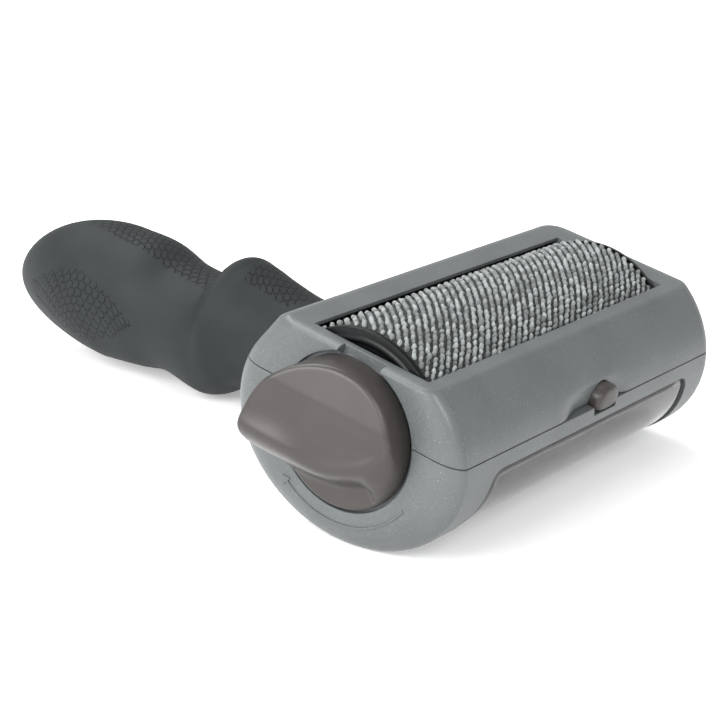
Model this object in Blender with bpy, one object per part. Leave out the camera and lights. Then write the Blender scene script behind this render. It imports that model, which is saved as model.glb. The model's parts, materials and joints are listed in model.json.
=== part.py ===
"""Self-cleaning lint roller: a fabric roller in a hinged cover, a lint bin with a window, and a grip.

Two frames are used. The head frame has its origin on the roller's axis at the knob end, +X along
the roller, +Y towards the handle and +Z square to the flat top. The level frame has the same
origin and is turned so that the tool lies on the floor, on its belly and the grip's guard.
"""

import math
from dataclasses import dataclass

import bmesh
import bpy
from mathutils import Matrix, Vector

MM = 0.001
GAP = 0.3

# Head: driving dimensions in millimetres, in the head frame
HEAD_LENGTH = 112.0
HEAD_TILT = math.radians(11.0)
WALL = 2.4
SEAM_Z = 4.5
SEAM_GAP = 0.3
NEAR_WALL_X = 3.3
FAR_WALL_X = 109.5
NEAR_ROUND = 3.6
FAR_ROUND = 5.8
BELLY_STEPS = 44
ROUND_STEPS = 4

# Opening in the top face
OPENING_X = (4.0, 102.5)
OPENING_HALF_WIDTH = 15.6
ROLLER_SPACE_RADIUS = 23.4

# Roller
ROLLER_X = (4.4, 101.9)
DISC_THICK = 1.5
DISC_RADIUS = 22.3
FABRIC_RADIUS = 22.9
CORE_RADIUS = 20.3
CORE_WALL = 2.0
SPIGOT_LENGTH = 3.0
SHAFT_RADIUS = 2.6
SHAFT_X = (-2.0, 107.0)

# Knob and its recess
RECESS_RADIUS = 18.5
RECESS_DEPTH = 1.2
KNOB_RADIUS = 17.3
KNOB_BACK_X = 0.9
KNOB_HEIGHT = 15.25
KNOB_FLOOR = 1.0
# Knob's S-shaped crest, along Y: where it runs and how high it stands
KNOB_CREST = (
    (-18.0, 8.0, 7.0),
    (-16.0, 4.6, 7.6),
    (-13.5, 1.2, 8.2),
    (-10.0, -1.6, 9.0),
    (-6.5, -3.3, 10.0),
    (-3.0, -3.9, 11.1),
    (0.5, -3.3, 12.2),
    (4.0, -2.2, 13.3),
    (8.0, -1.4, 14.3),
    (12.0, -1.1, 14.9),
    (18.0, -0.8, 15.2),
)
# Foot of the wall under the crest, where the finger hollow begins
KNOB_FOOT = (
    (-18.0, -13.0),
    (-13.0, -12.6),
    (-11.5, -9.8),
    (-8.5, -9.4),
    (-4.0, -11.3),
    (5.0, -13.4),
    (18.0, -14.0),
)
NOTCH_HALF_WIDTH = 5.8
NOTCH_X = 2.5
NOTCH_FLOOR_Z = 16.2

# Bearings in the cover's hanging tabs
TAB_HALF_WIDTH = 9.0
TAB_BOTTOM_Z = -8.5
NEAR_TAB_X = (1.5, 3.2)
FAR_TAB_X = (103.4, 105.2)
BEARING_HOLE = 4.6
BUSHING_RADIUS = 4.3
BUSHING_FLANGE = 5.8
SLOT_FRONT_Y = -11.8
SLOT_BACK_Y = 9.5
SLOT_BOTTOM_Z = -8.9

# Rear hinge
HINGE_Y = 31.2
HINGE_Z = 4.5
KNUCKLE_RADIUS = 2.4
KNUCKLE_ROOM = 2.8
HINGE_PIN_RADIUS = 1.0
BIN_KNUCKLES = ((22.0, 29.0), (83.0, 90.0))
COVER_KNUCKLES = ((29.3, 36.3), (75.7, 82.7))

# Window in the bin
WINDOW_TOP_Z = 0.9
WINDOW_ARC = 29.0
WINDOW_TOP_X = (14.0, 98.0)
WINDOW_FLARE = 4.0
WINDOW_CORNERS = (3.0, 6.0)
LEDGE = 1.2
LENS_OUTER = -0.5
LENS_INNER = -1.5
WINDOW_BAR_X = (57.5, 61.5)

# Latch button in the cover's front edge
LATCH_X = 58.7
LATCH_HALF_WIDTH = 4.7
LATCH_BASE_Z = 2.9
LATCH_TOP_Z = 8.9
LATCH_FRONT_Y = -31.3
LATCH_TRAVEL = 1.5
SCOOP_CENTRE = (50.0, -31.2, 6.8)
SCOOP_SIZE = (11.0, 4.0, 6.0)

# Cleaning comb
COMB_X = (8.0, 99.5)
COMB_GAP_X = (52.3, 67.7)
COMB_PITCH = 2.3
COMB_TOOTH = 1.2
COMB_BAR_Y = (-24.2, -22.4)
COMB_BAR_Z = (6.4, 9.9)
COMB_TEETH_Y = (-24.8, -23.5)
COMB_TIP_Z = -1.0
COMB_SCREW_X = (30.0, 86.0)

# Grip, in the level frame: distance from the roller's axis, top, bottom and half width
GRIP_CENTRE_X = 56.0
GRIP_STATIONS = (
    (26.0, 1.5, -16.0, 15.5),
    (42.0, 3.0, -16.5, 14.4),
    (56.0, 5.4, -17.2, 13.6),
    (66.0, 8.6, -19.4, 14.6),
    (74.0, 11.3, -22.2, 16.6),
    (84.0, 4.8, -26.3, 17.0),
    (96.0, 6.6, -23.4, 15.8),
    (106.0, 10.6, -24.2, 17.0),
    (118.0, 12.1, -24.6, 17.5),
)
GRIP_TIP_Y = 155.25
GRIP_TIP_FULLNESS = 1.8
GRIP_SKIN = 3.0
GRIP_RINGS = 27
GRIP_SIDES = 28
CORE_RINGS = 15
GRIP_END_RINGS = 13
CORE_SIDES = 20
HANDLE_SCREW_X = (52.0, 60.0)
HANDLE_SCREW_Z = -11.0

COLOURS = {
    "housing": ((0.27, 0.30, 0.30, 1.0), 0.42, 0.0),
    "knob": ((0.19, 0.175, 0.165, 1.0), 0.38, 0.0),
    "rubber": ((0.075, 0.085, 0.088, 1.0), 0.75, 0.0),
    "black": ((0.010, 0.011, 0.013, 1.0), 0.35, 0.0),
    "fabric": ((0.22, 0.24, 0.24, 1.0), 0.95, 0.0),
    "clear": ((0.75, 0.76, 0.75, 0.4), 0.08, 0.0),
    "steel": ((0.55, 0.55, 0.56, 1.0), 0.30, 1.0),
    "bushing": ((0.70, 0.69, 0.65, 1.0), 0.45, 0.0),
    "core": ((0.035, 0.038, 0.040, 1.0), 0.50, 0.0),
}


@dataclass
class Section:
    """Cross-section of the head: an ellipse cut by the flat top, with two rounded top corners."""

    half_width: float
    half_height: float
    centre_y: float
    centre_z: float
    top: float
    back_corner_y: float
    back_round: float
    front_round: float


FULL = Section(31.0, 25.3, 0.4, -1.3, 18.3, 21.0, 4.0, 3.0)
END = Section(24.2, 20.8, 0.4, 0.6, 17.2, 16.0, 4.0, 3.0)


# ---------------------------------------------------------------- shapes


def solve(function, low, high):
    """Angle between low and high where the function changes sign, by halving."""
    sign = function(low) > 0
    for _ in range(50):
        middle = (low + high) / 2
        if (function(middle) > 0) == sign:
            low = middle
        else:
            high = middle
    return (low + high) / 2


def belly_point(section, angle, grow=0.0):
    """Point of the section's ellipse whose outward normal is at angle, moved outward by grow."""
    ny, nz = math.cos(angle), math.sin(angle)
    reach = math.hypot(section.half_width * ny, section.half_height * nz)
    y = section.centre_y + section.half_width**2 * ny / reach + grow * ny
    z = section.centre_z + section.half_height**2 * nz / reach + grow * nz
    return y, z


def corner_angles(section):
    """Normal angles at which the ellipse runs into the back corner and out of the front one."""

    def back(angle):
        y, z = belly_point(section, angle)
        ny, nz = math.cos(angle), math.sin(angle)
        corner_z = section.top - section.back_round
        corner = section.back_corner_y * ny + corner_z * nz + section.back_round
        return y * ny + z * nz - corner

    def front(angle):
        z = belly_point(section, angle)[1]
        return z - section.front_round * math.sin(angle) - (section.top - section.front_round)

    return solve(back, 0.0, math.pi / 4), solve(front, math.pi / 2, math.pi)


def head_outline(section, grow=0.0):
    """Closed (y, z) outline of the head, moved outward by grow."""
    back, front = corner_angles(section)
    around = math.tau + back - front
    angles = [front + around * i / BELLY_STEPS for i in range(BELLY_STEPS + 1)]
    points = [belly_point(section, angle, grow) for angle in angles]
    front_y = belly_point(section, front, -section.front_round)[0]
    corners = (
        (section.back_corner_y, section.back_round, back, math.pi / 2, 5),
        (front_y, section.front_round, math.pi / 2, front, 3),
    )
    for centre_y, radius, start, end, steps in corners:
        for i in range(steps + 1):
            angle = start + (end - start) * i / steps
            y = centre_y + (radius + grow) * math.cos(angle)
            z = section.top - radius + (radius + grow) * math.sin(angle)
            if math.dist((y, z), points[-1]) > 0.05 and math.dist((y, z), points[0]) > 0.05:
                points.append((y, z))
    return points


def loft(name, rings):
    """Closed mesh object through rings of points in millimetres, with a flat cap at each end."""
    mesh = bpy.data.meshes.new(name)
    build = bmesh.new()
    loops = [[build.verts.new(Vector(point) * MM) for point in ring] for ring in rings]
    for first, second in zip(loops, loops[1:]):
        for i in range(len(first)):
            j = (i + 1) % len(first)
            build.faces.new((first[i], first[j], second[j], second[i]))
    build.faces.new(list(reversed(loops[0])))
    build.faces.new(loops[-1])
    bmesh.ops.recalc_face_normals(build, faces=build.faces)
    build.to_mesh(mesh)
    build.free()
    thing = bpy.data.objects.new(name, mesh)
    bpy.context.scene.collection.objects.link(thing)
    return thing


def turned(name, profile, sides=40):
    """Solid turned about the X axis from a closed (x, radius) profile that stays off the axis."""
    mesh = bpy.data.meshes.new(name)
    build = bmesh.new()
    loops = []
    for i in range(sides):
        angle = math.tau * i / sides
        around = [(x, r * math.cos(angle), r * math.sin(angle)) for x, r in profile]
        loops.append([build.verts.new(Vector(point) * MM) for point in around])
    for i in range(sides):
        first, second = loops[i], loops[(i + 1) % sides]
        for j in range(len(profile)):
            k = (j + 1) % len(profile)
            build.faces.new((first[j], first[k], second[k], second[j]))
    bmesh.ops.recalc_face_normals(build, faces=build.faces)
    build.to_mesh(mesh)
    build.free()
    thing = bpy.data.objects.new(name, mesh)
    bpy.context.scene.collection.objects.link(thing)
    return thing


def rod(name, radius, x_range, centre=(0.0, 0.0), sides=32):
    """Solid cylinder along X."""
    rings = []
    for x in x_range:
        ring = []
        for i in range(sides):
            angle = math.tau * i / sides
            ring.append((x, centre[0] + radius * math.cos(angle), centre[1] + radius * math.sin(angle)))
        rings.append(ring)
    return loft(name, rings)


def rod_y(name, radius, y_range, x, z, sides=16):
    """Solid cylinder along Y."""
    rings = []
    for y in y_range:
        angles = [math.tau * i / sides for i in range(sides)]
        rings.append([(x + radius * math.cos(a), y, z + radius * math.sin(a)) for a in angles])
    return loft(name, rings)


def block(name, x_range, y_range, z_range):
    """Solid box."""
    (y0, y1), (z0, z1) = y_range, z_range
    return loft(name, [[(x, y0, z0), (x, y1, z0), (x, y1, z1), (x, y0, z1)] for x in x_range])


def prism(name, outline, x_range):
    """Solid with one (y, z) outline along X."""
    return loft(name, [[(x, y, z) for y, z in outline] for x in x_range])


def ellipsoid(name, centre, size):
    """Ball stretched to three half sizes."""
    mesh = bpy.data.meshes.new(name)
    build = bmesh.new()
    bmesh.ops.create_uvsphere(build, u_segments=28, v_segments=16, radius=1.0)
    for vertex in build.verts:
        stretched = [centre[i] + vertex.co[i] * size[i] for i in range(3)]
        vertex.co = Vector(stretched) * MM
    build.to_mesh(mesh)
    build.free()
    thing = bpy.data.objects.new(name, mesh)
    bpy.context.scene.collection.objects.link(thing)
    return thing


def combine(target, other, operation):
    """Boolean of a helper object into the target; the helper isn't part of the model."""
    other.hide_render = True
    other.display_type = "WIRE"
    modifier = target.modifiers.new(other.name, "BOOLEAN")
    modifier.operation = operation
    modifier.object = other
    modifier.solver = "EXACT"


def cut(target, *others):
    for other in others:
        combine(target, other, "DIFFERENCE")


def join(target, *others):
    for other in others:
        combine(target, other, "UNION")


# ---------------------------------------------------------------- frames and materials


def empty(name, parent=None, location=(0.0, 0.0, 0.0)):
    holder = bpy.data.objects.new(name, None)
    holder.empty_display_size = 0.01
    holder.location = Vector(location) * MM
    holder.parent = parent
    bpy.context.scene.collection.objects.link(holder)
    return holder


def seat(thing, holder, pivot=(0.0, 0.0, 0.0)):
    """Hang an object, built in the head or the level frame, on a holder that stands at pivot."""
    thing.data.transform(Matrix.Translation(-Vector(pivot) * MM))
    thing.parent = holder


def finish(thing, colour):
    colour_value, roughness, metallic = COLOURS[colour]
    material = bpy.data.materials.get(colour)
    if material is None:
        material = bpy.data.materials.new(colour)
        material.use_nodes = True
        shader = material.node_tree.nodes["Principled BSDF"]
        shader.inputs["Base Color"].default_value = colour_value
        shader.inputs["Roughness"].default_value = roughness
        shader.inputs["Metallic"].default_value = metallic
        shader.inputs["Alpha"].default_value = colour_value[3]
    thing.data.materials.clear()
    thing.data.materials.append(material)
    thing.data.shade_smooth()
    thing.data.set_sharp_from_angle(angle=math.radians(35))


# ---------------------------------------------------------------- housing


def head_block(name, grow=0.0):
    """Outer form of the whole head, with rounded ends."""
    full = head_outline(FULL, grow)
    end = head_outline(END, grow)

    def blend(x, share):
        return [(x, q[0] + (p[0] - q[0]) * share, q[1] + (p[1] - q[1]) * share) for p, q in zip(full, end)]

    steps = [math.pi / 2 * i / ROUND_STEPS for i in range(ROUND_STEPS + 1)]
    near = [blend(-grow + NEAR_ROUND * (1 - math.cos(a)), math.sin(a)) for a in steps]
    far = [blend(HEAD_LENGTH + grow - FAR_ROUND * (1 - math.cos(a)), math.sin(a)) for a in reversed(steps)]
    return loft(name, near + far)


def cavity(name):
    return prism(name, head_outline(FULL, -WALL), (NEAR_WALL_X, FAR_WALL_X))


def knuckles(name, spans, side):
    """Hinge barrels with webs that run to the wall on one side of the seam."""
    things = []
    for number, (x0, x1) in enumerate(spans):
        outline = [
            (HINGE_Y + KNUCKLE_RADIUS * math.cos(math.pi * i / 8 - math.pi / 2),
             HINGE_Z + KNUCKLE_RADIUS * math.sin(math.pi * i / 8 - math.pi / 2))
            for i in range(9)
        ]
        if side > 0:
            outline += [(HINGE_Y - 0.5, HINGE_Z + 4.6), (HINGE_Y - 3.0, HINGE_Z + 4.6), (HINGE_Y - 2.4, HINGE_Z - 0.2)]
        else:
            outline += [(HINGE_Y - 2.4, HINGE_Z + 0.2), (HINGE_Y - 3.0, HINGE_Z - 4.6), (HINGE_Y - 0.5, HINGE_Z - 4.6)]
        barrel = prism(f"{name}_{number}", outline, (x0, x1))
        things.append(barrel)
    return things


def hinge_room(name, spans):
    return [
        rod(f"{name}_{i}", KNUCKLE_ROOM, (x0 - GAP, x1 + GAP), (HINGE_Y, HINGE_Z), 24)
        for i, (x0, x1) in enumerate(spans)
    ]


def hinge_bores(name):
    spans = ((21.0, 37.3), (74.7, 91.0))
    return [
        rod(f"{name}_{i}", HINGE_PIN_RADIUS + GAP, span, (HINGE_Y, HINGE_Z), 16)
        for i, span in enumerate(spans)
    ]


def latch_arch(name, grow, y_range):
    """Rounded-top opening or plug of the latch, along Y."""
    half = LATCH_HALF_WIDTH + grow
    base = LATCH_BASE_Z - grow
    height = LATCH_TOP_Z + grow - base
    rings = []
    for y in y_range:
        ring = [(LATCH_X - half, y, base), (LATCH_X + half, y, base)]
        for i in range(1, 12):
            angle = math.pi * i / 12
            ring.append((LATCH_X + half * math.cos(angle), y, base + 0.8 + (height - 0.8) * math.sin(angle)))
        rings.append(ring)
    return loft(name, rings)


def bearing_tab(name, x_range):
    outline = []
    for i in range(13):
        angle = math.pi + math.pi * i / 12
        y = TAB_HALF_WIDTH * math.cos(angle)
        z = TAB_BOTTOM_Z + TAB_HALF_WIDTH * (1 + math.sin(angle)) * 0.5
        outline.append((y, z))
    outline += [(TAB_HALF_WIDTH, SEAM_Z + 4.0), (-TAB_HALF_WIDTH, SEAM_Z + 4.0)]
    tab = prism(name, outline, x_range)
    return tab


def make_cover(holder, pivot):
    cover = head_block("roller_cover")
    below = block("cover_below", (-20, 140), (-60, 60), (-60, SEAM_Z + SEAM_GAP / 2))
    inside = cavity("cover_cavity")
    space = rod("cover_roller_space", ROLLER_SPACE_RADIUS, OPENING_X, sides=72)
    half = OPENING_HALF_WIDTH
    mouth = block("cover_mouth", OPENING_X, (-half, half), (12.0, 25.0))
    recess = rod("cover_recess", RECESS_RADIUS, (-5.0, RECESS_DEPTH), sides=64)
    half = NOTCH_HALF_WIDTH
    notch = block("cover_notch", (-5.0, NOTCH_X), (-half, half), (NOTCH_FLOOR_Z, 25.0))
    arch = latch_arch("cover_latch_notch", 0.35, (-36.0, -20.0))
    scoop = ellipsoid("cover_scoop", SCOOP_CENTRE, SCOOP_SIZE)
    far_bridge = block(
        "cover_far_bridge", (FAR_TAB_X[0], FAR_WALL_X + 1.0), (-TAB_HALF_WIDTH, TAB_HALF_WIDTH), (SEAM_Z + 2.5, 17.0)
    )
    holes = rod("cover_bearing_holes", BEARING_HOLE, (-3.0, FAR_TAB_X[1] + 1.0), sides=32)
    cut(cover, below, inside, space, mouth, recess, notch, arch, scoop)
    cut(cover, *hinge_room("cover_hinge_room", BIN_KNUCKLES))
    join(cover, bearing_tab("cover_near_tab", NEAR_TAB_X), bearing_tab("cover_far_tab", FAR_TAB_X), far_bridge)
    join(cover, *knuckles("cover_knuckle", COVER_KNUCKLES, 1))
    cut(cover, holes, *hinge_bores("cover_hinge_bore"))
    things = [modifier.object for modifier in cover.modifiers]
    for thing in [cover] + things:
        seat(thing, holder, pivot)
    finish(cover, "housing")


def window_patch(name, inset, outer, inner, x_limits=(-999.0, 999.0)):
    """Curved slab over the window: rows across the belly, between two depths under its skin."""
    start = solve(lambda a: belly_point(FULL, a)[1] - WINDOW_TOP_Z, math.pi * 0.75, math.pi * 1.5)
    fine = 240
    angles = [start + (math.pi * 1.5 - start) * i / fine for i in range(fine + 1)]
    arcs = [0.0]
    for a, b in zip(angles, angles[1:]):
        arcs.append(arcs[-1] + math.dist(belly_point(FULL, a), belly_point(FULL, b)))

    def angle_at(arc):
        for a, b, low, high in zip(angles, angles[1:], arcs, arcs[1:]):
            if arc <= high:
                return a + (b - a) * (arc - low) / (high - low)
        return angles[-1]

    top_round, low_round = (corner - inset for corner in WINDOW_CORNERS)
    length = WINDOW_ARC - 2 * inset
    rows = [top_round * (1 - math.cos(math.pi / 2 * i / 4)) for i in range(5)]
    middle = length - top_round - low_round
    rows += [top_round + middle * i / 8 for i in range(1, 9)]
    rows += [length - low_round * (1 - math.sin(math.pi / 2 * i / 4)) for i in range(1, 5)]
    rings = []
    for arc in rows:
        flare = WINDOW_FLARE * min(1.0, (arc + inset) / (WINDOW_ARC * 0.7))
        tuck = 0.0
        if arc < top_round:
            tuck = top_round - math.sqrt(max(0.0, top_round**2 - (top_round - arc) ** 2))
        if arc > length - low_round:
            rest = length - arc
            tuck = low_round - math.sqrt(max(0.0, low_round**2 - (low_round - rest) ** 2))
        x0 = max(WINDOW_TOP_X[0] - flare + inset + tuck, x_limits[0])
        x1 = min(WINDOW_TOP_X[1] + flare - inset - tuck, x_limits[1])
        angle = angle_at(arc + inset)
        y_out, z_out = belly_point(FULL, angle, outer)
        y_in, z_in = belly_point(FULL, angle, inner)
        rings.append([(x0, y_out, z_out), (x1, y_out, z_out), (x1, y_in, z_in), (x0, y_in, z_in)])
    return loft(name, rings)


def make_bin(holder):
    shell = head_block("bin_housing")
    above = block("bin_above", (-20, 140), (-60, 60), (SEAM_Z - SEAM_GAP / 2, 60))
    recess = rod("bin_recess", RECESS_RADIUS, (-5.0, RECESS_DEPTH), sides=64)
    slot = block("bin_slot", (-5.0, NEAR_WALL_X + 0.5), (SLOT_FRONT_Y, SLOT_BACK_Y), (SLOT_BOTTOM_Z, 20.0))
    rebate = window_patch("bin_window_rebate", 0.0, 3.0, LENS_INNER - GAP)
    near_hole = window_patch("bin_window_near", LEDGE, 3.0, -6.0, (-99.0, WINDOW_BAR_X[0]))
    far_hole = window_patch("bin_window_far", LEDGE, 3.0, -6.0, (WINDOW_BAR_X[1], 999.0))
    arch = latch_arch("bin_latch_notch", 0.35, (-36.0, -24.0))
    cut(shell, above, cavity("bin_cavity"), recess, slot, rebate, near_hole, far_hole, arch)
    cut(shell, *hinge_room("bin_hinge_room", COVER_KNUCKLES))
    join(shell, *knuckles("bin_knuckle", BIN_KNUCKLES, -1))
    cut(shell, *hinge_bores("bin_hinge_bore"))
    for number, x in enumerate(HANDLE_SCREW_X):
        cut(shell, rod_y(f"bin_screw_hole_{number}", 1.8, (20.0, 40.0), x, HANDLE_SCREW_Z))
    things = [modifier.object for modifier in shell.modifiers]
    for thing in [shell] + things:
        seat(thing, holder)
    finish(shell, "housing")


def make_lens(holder):
    lens = window_patch("window_lens", GAP, LENS_OUTER, LENS_INNER)
    seat(lens, holder)
    finish(lens, "clear")


def make_hinge_pins(holder):
    for name, spans in (("near", (22.5, 36.0)), ("far", (76.0, 89.5))):
        pin = rod(f"hinge_pin_{name}", HINGE_PIN_RADIUS, spans, (HINGE_Y, HINGE_Z), 16)
        seat(pin, holder)
        finish(pin, "steel")


def make_latch(holder, pivot):
    button = latch_arch("latch_button", 0.0, (LATCH_FRONT_Y, -26.2))
    neck = block("latch_neck", (LATCH_X - 3.2, LATCH_X + 3.2), (-27.0, -25.2), (LATCH_BASE_Z + 0.2, 5.8))
    flange = block("latch_flange", (LATCH_X - 6.9, LATCH_X + 6.9), (-25.6, -24.7), (LATCH_BASE_Z + 0.1, 6.0))
    dome = button.modifiers.new("edge", "BEVEL")
    dome.width = 1.1 * MM
    dome.segments = 2
    dome.angle_limit = math.radians(60)
    join(button, neck, flange)
    for thing in (button, neck, flange):
        seat(thing, holder, pivot)
    finish(button, "knob")


# ---------------------------------------------------------------- roller


def shaft_ring(x, hexagonal, radius):
    """Twelve points round the shaft: a circle, or a hexagon's corners and edge middles."""
    ring = []
    for i in range(12):
        angle = math.tau * i / 12
        reach = radius
        if hexagonal:
            reach = radius * 1.15 if i % 2 == 0 else radius * 1.15 * math.cos(math.pi / 6)
        ring.append((x, reach * math.cos(angle), reach * math.sin(angle)))
    return ring


def make_shaft(holder):
    stations = (
        (SHAFT_X[0], True),
        (KNOB_BACK_X, True),
        (KNOB_BACK_X + 0.2, False),
        (ROLLER_X[0] - 0.2, False),
        (ROLLER_X[0], True),
        (ROLLER_X[1], True),
        (ROLLER_X[1] + 0.2, False),
        (SHAFT_X[1], False),
    )
    shaft = loft("drive_shaft", [shaft_ring(x, six, SHAFT_RADIUS) for x, six in stations])
    seat(shaft, holder)
    finish(shaft, "steel")


def hex_hole(name, x_range):
    return loft(name, [shaft_ring(x, True, SHAFT_RADIUS + GAP * 1.1) for x in x_range])


def make_discs(holder):
    """End discs with a stepped rim outside and a spigot that centres the core."""
    spigot = CORE_RADIUS - CORE_WALL - GAP
    for name, face, inward in (("near", ROLLER_X[0], 1), ("far", ROLLER_X[1], -1)):
        profile = [
            (face, 3.6),
            (face + inward * 0.0, 7.5),
            (face + inward * 0.7, 8.5),
            (face + inward * 0.7, 18.6),
            (face, 19.4),
            (face, DISC_RADIUS - 0.5),
            (face + inward * 0.4, DISC_RADIUS),
            (face + inward * DISC_THICK, DISC_RADIUS),
            (face + inward * DISC_THICK, spigot),
            (face + inward * (DISC_THICK + SPIGOT_LENGTH), spigot),
            (face + inward * (DISC_THICK + SPIGOT_LENGTH), spigot - 1.8),
            (face + inward * (DISC_THICK + 0.3), spigot - 2.2),
            (face + inward * (DISC_THICK + 0.3), 6.5),
            (face + inward * (DISC_THICK + SPIGOT_LENGTH), 5.8),
            (face + inward * (DISC_THICK + SPIGOT_LENGTH), 3.6),
        ]
        disc = turned(f"roller_end_disc_{name}", profile, 48)
        seat(disc, holder)
        finish(disc, "black")


def make_core(holder):
    x0, x1 = ROLLER_X[0] + DISC_THICK + GAP, ROLLER_X[1] - DISC_THICK - GAP
    inner = CORE_RADIUS - CORE_WALL
    core = turned("roller_core", [(x0, inner), (x0, CORE_RADIUS), (x1, CORE_RADIUS), (x1, inner)], 40)
    seat(core, holder)
    finish(core, "core")


def make_sleeve(holder):
    x0, x1 = ROLLER_X[0] + DISC_THICK + GAP, ROLLER_X[1] - DISC_THICK - GAP
    inner = CORE_RADIUS + GAP
    edge = 0.8
    profile = [
        (x0, inner),
        (x0, FABRIC_RADIUS - edge),
        (x0 + edge, FABRIC_RADIUS),
        (x1 - edge, FABRIC_RADIUS),
        (x1, FABRIC_RADIUS - edge),
        (x1, inner),
    ]
    sleeve = turned("lint_sleeve", profile, 56)
    seat(sleeve, holder)
    finish(sleeve, "fabric")


def knob_height(y, z):
    """Height of the knob's face at a point, before its edges are softened."""
    crest, height = smooth(KNOB_CREST, max(-18.0, min(18.0, y)))
    foot = smooth(KNOB_FOOT, max(-18.0, min(18.0, y)))[0]
    crease = max(9.0 + 0.115 * y, crest + 2.0)
    crease_height = 10.2 + 0.2 * y
    if z > crease:
        return crease_height - 0.35 * (z - crease)
    if z > crest:
        share = (z - crest) / (crease - crest)
        return height + (crease_height - height) * share - 3.5 * share * (1 - share)
    share = min(1.0, (crest - z) / (crest - foot))
    return KNOB_FLOOR + (height - KNOB_FLOOR) * abs(math.cos(math.pi / 2 * share)) ** 1.4


def soft_knob_height(y, z):
    """Knob's face with its crest, crease and foot rounded by averaging over a small disc."""
    total = 2 * knob_height(y, z)
    for radius in (0.6, 1.2):
        for i in range(6):
            angle = math.tau * i / 6
            total += knob_height(y + radius * math.cos(angle), z + radius * math.sin(angle))
    return total / 14


def knob_ring(radius, sides):
    """Ring of the knob's face, lowered at the rim by its rounding, widest at one side."""
    points = []
    for i in range(sides):
        angle = math.tau * i / sides
        off = abs((math.degrees(angle) - 203 + 180) % 360 - 180)
        rounding = 0.9 + 3.4 * max(0.0, 1 - (off / 42) ** 2)
        edge = KNOB_RADIUS - radius
        height = soft_knob_height(radius * math.cos(angle), radius * math.sin(angle))
        rounding = min(rounding, height + KNOB_BACK_X - 0.9)
        if edge < rounding:
            height -= rounding - math.sqrt(rounding**2 - (rounding - edge) ** 2)
        points.append((-height, radius * math.cos(angle), radius * math.sin(angle)))
    return points


def make_knob(holder):
    """Round knob: a high S-shaped crest, a sloping face above it and a finger hollow below."""
    sides = 48
    radii = [0.0, 0.12, 0.45, 0.95, 1.8, 3.2, 4.8, 6.4, 8.0, 9.6, 11.2, 12.8, 14.4, 15.8, 16.9]
    rings = [knob_ring(KNOB_RADIUS - edge, sides) for edge in radii]
    tallest = max(-point[0] for ring in rings for point in ring)
    rings = [[(x * KNOB_HEIGHT / tallest, y, z) for x, y, z in ring] for ring in rings]
    back = [(KNOB_BACK_X, y, z) for x, y, z in rings[0]]
    knob = loft("twist_knob", [back] + rings)
    socket = hex_hole("knob_socket", (SHAFT_X[0] - GAP, 5.0))
    cut(knob, socket)
    for thing in (knob, socket):
        seat(thing, holder)
    finish(knob, "knob")


def make_retaining_ring(holder):
    x0 = FAR_TAB_X[1] + 0.6
    ring = turned("retaining_ring", [(x0, 2.9), (x0, 4.8), (x0 + 0.7, 4.8), (x0 + 0.7, 2.9)], 24)
    seat(ring, holder)
    finish(ring, "steel")


def make_bushings(holder, pivot):
    inner = SHAFT_RADIUS + GAP
    for name, tab, flange_x in (
        ("near", (NEAR_TAB_X[0] - 0.2, NEAR_TAB_X[1] + GAP), NEAR_TAB_X[1] + 0.9),
        ("far", (FAR_TAB_X[1] + 0.2, FAR_TAB_X[0] - GAP), FAR_TAB_X[0] - 0.9),
    ):
        profile = [
            (tab[0], inner),
            (tab[0], BUSHING_RADIUS),
            (tab[1], BUSHING_RADIUS),
            (tab[1], BUSHING_FLANGE),
            (flange_x, BUSHING_FLANGE),
            (flange_x, inner),
        ]
        bushing = turned(f"bushing_{name}", profile, 28)
        seat(bushing, holder, pivot)
        finish(bushing, "bushing")


# ---------------------------------------------------------------- comb


def make_comb(holder, pivot):
    """Strip whose teeth strip the lint off the fabric as the roller turns."""
    root = COMB_BAR_Z[0] + 0.2
    top = COMB_BAR_Z[0] + 0.6
    starts = []
    x = COMB_X[0]
    while x + COMB_TOOTH <= COMB_X[1]:
        if x + COMB_TOOTH <= COMB_GAP_X[0] or x >= COMB_GAP_X[1]:
            starts.append(x)
        x += COMB_PITCH
    edge = []
    for start in starts:
        edge += [(start, root), (start, COMB_TIP_Z)]
        edge += [(start + COMB_TOOTH, COMB_TIP_Z), (start + COMB_TOOTH, root)]
    outline = edge + [(starts[-1] + COMB_TOOTH, top), (starts[0], top)]
    rings = [[(x, y, z) for x, z in outline] for y in COMB_TEETH_Y]
    comb = loft("cleaning_comb", rings)
    bar = block("comb_bar", (COMB_X[0] - 1.0, COMB_X[1] + 1.0), COMB_BAR_Y, COMB_BAR_Z)
    join(comb, bar)
    middle = sum(COMB_BAR_Z) / 2
    holes = [rod_y(f"comb_hole_{i}", 1.1, (-30.0, -15.0), x, middle, 12) for i, x in enumerate(COMB_SCREW_X)]
    cut(comb, *holes)
    for thing in [comb, bar] + holes:
        seat(thing, holder, pivot)
    finish(comb, "core")


def make_comb_screws(holder, pivot):
    middle = sum(COMB_BAR_Z) / 2
    for label, x in zip(("near", "far"), COMB_SCREW_X):
        screw = rod_y(f"comb_screw_{label}", 0.8, (-24.3, -22.5), x, middle, 12)
        seat(screw, holder, pivot)
        finish(screw, "steel")


# ---------------------------------------------------------------- grip


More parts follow.
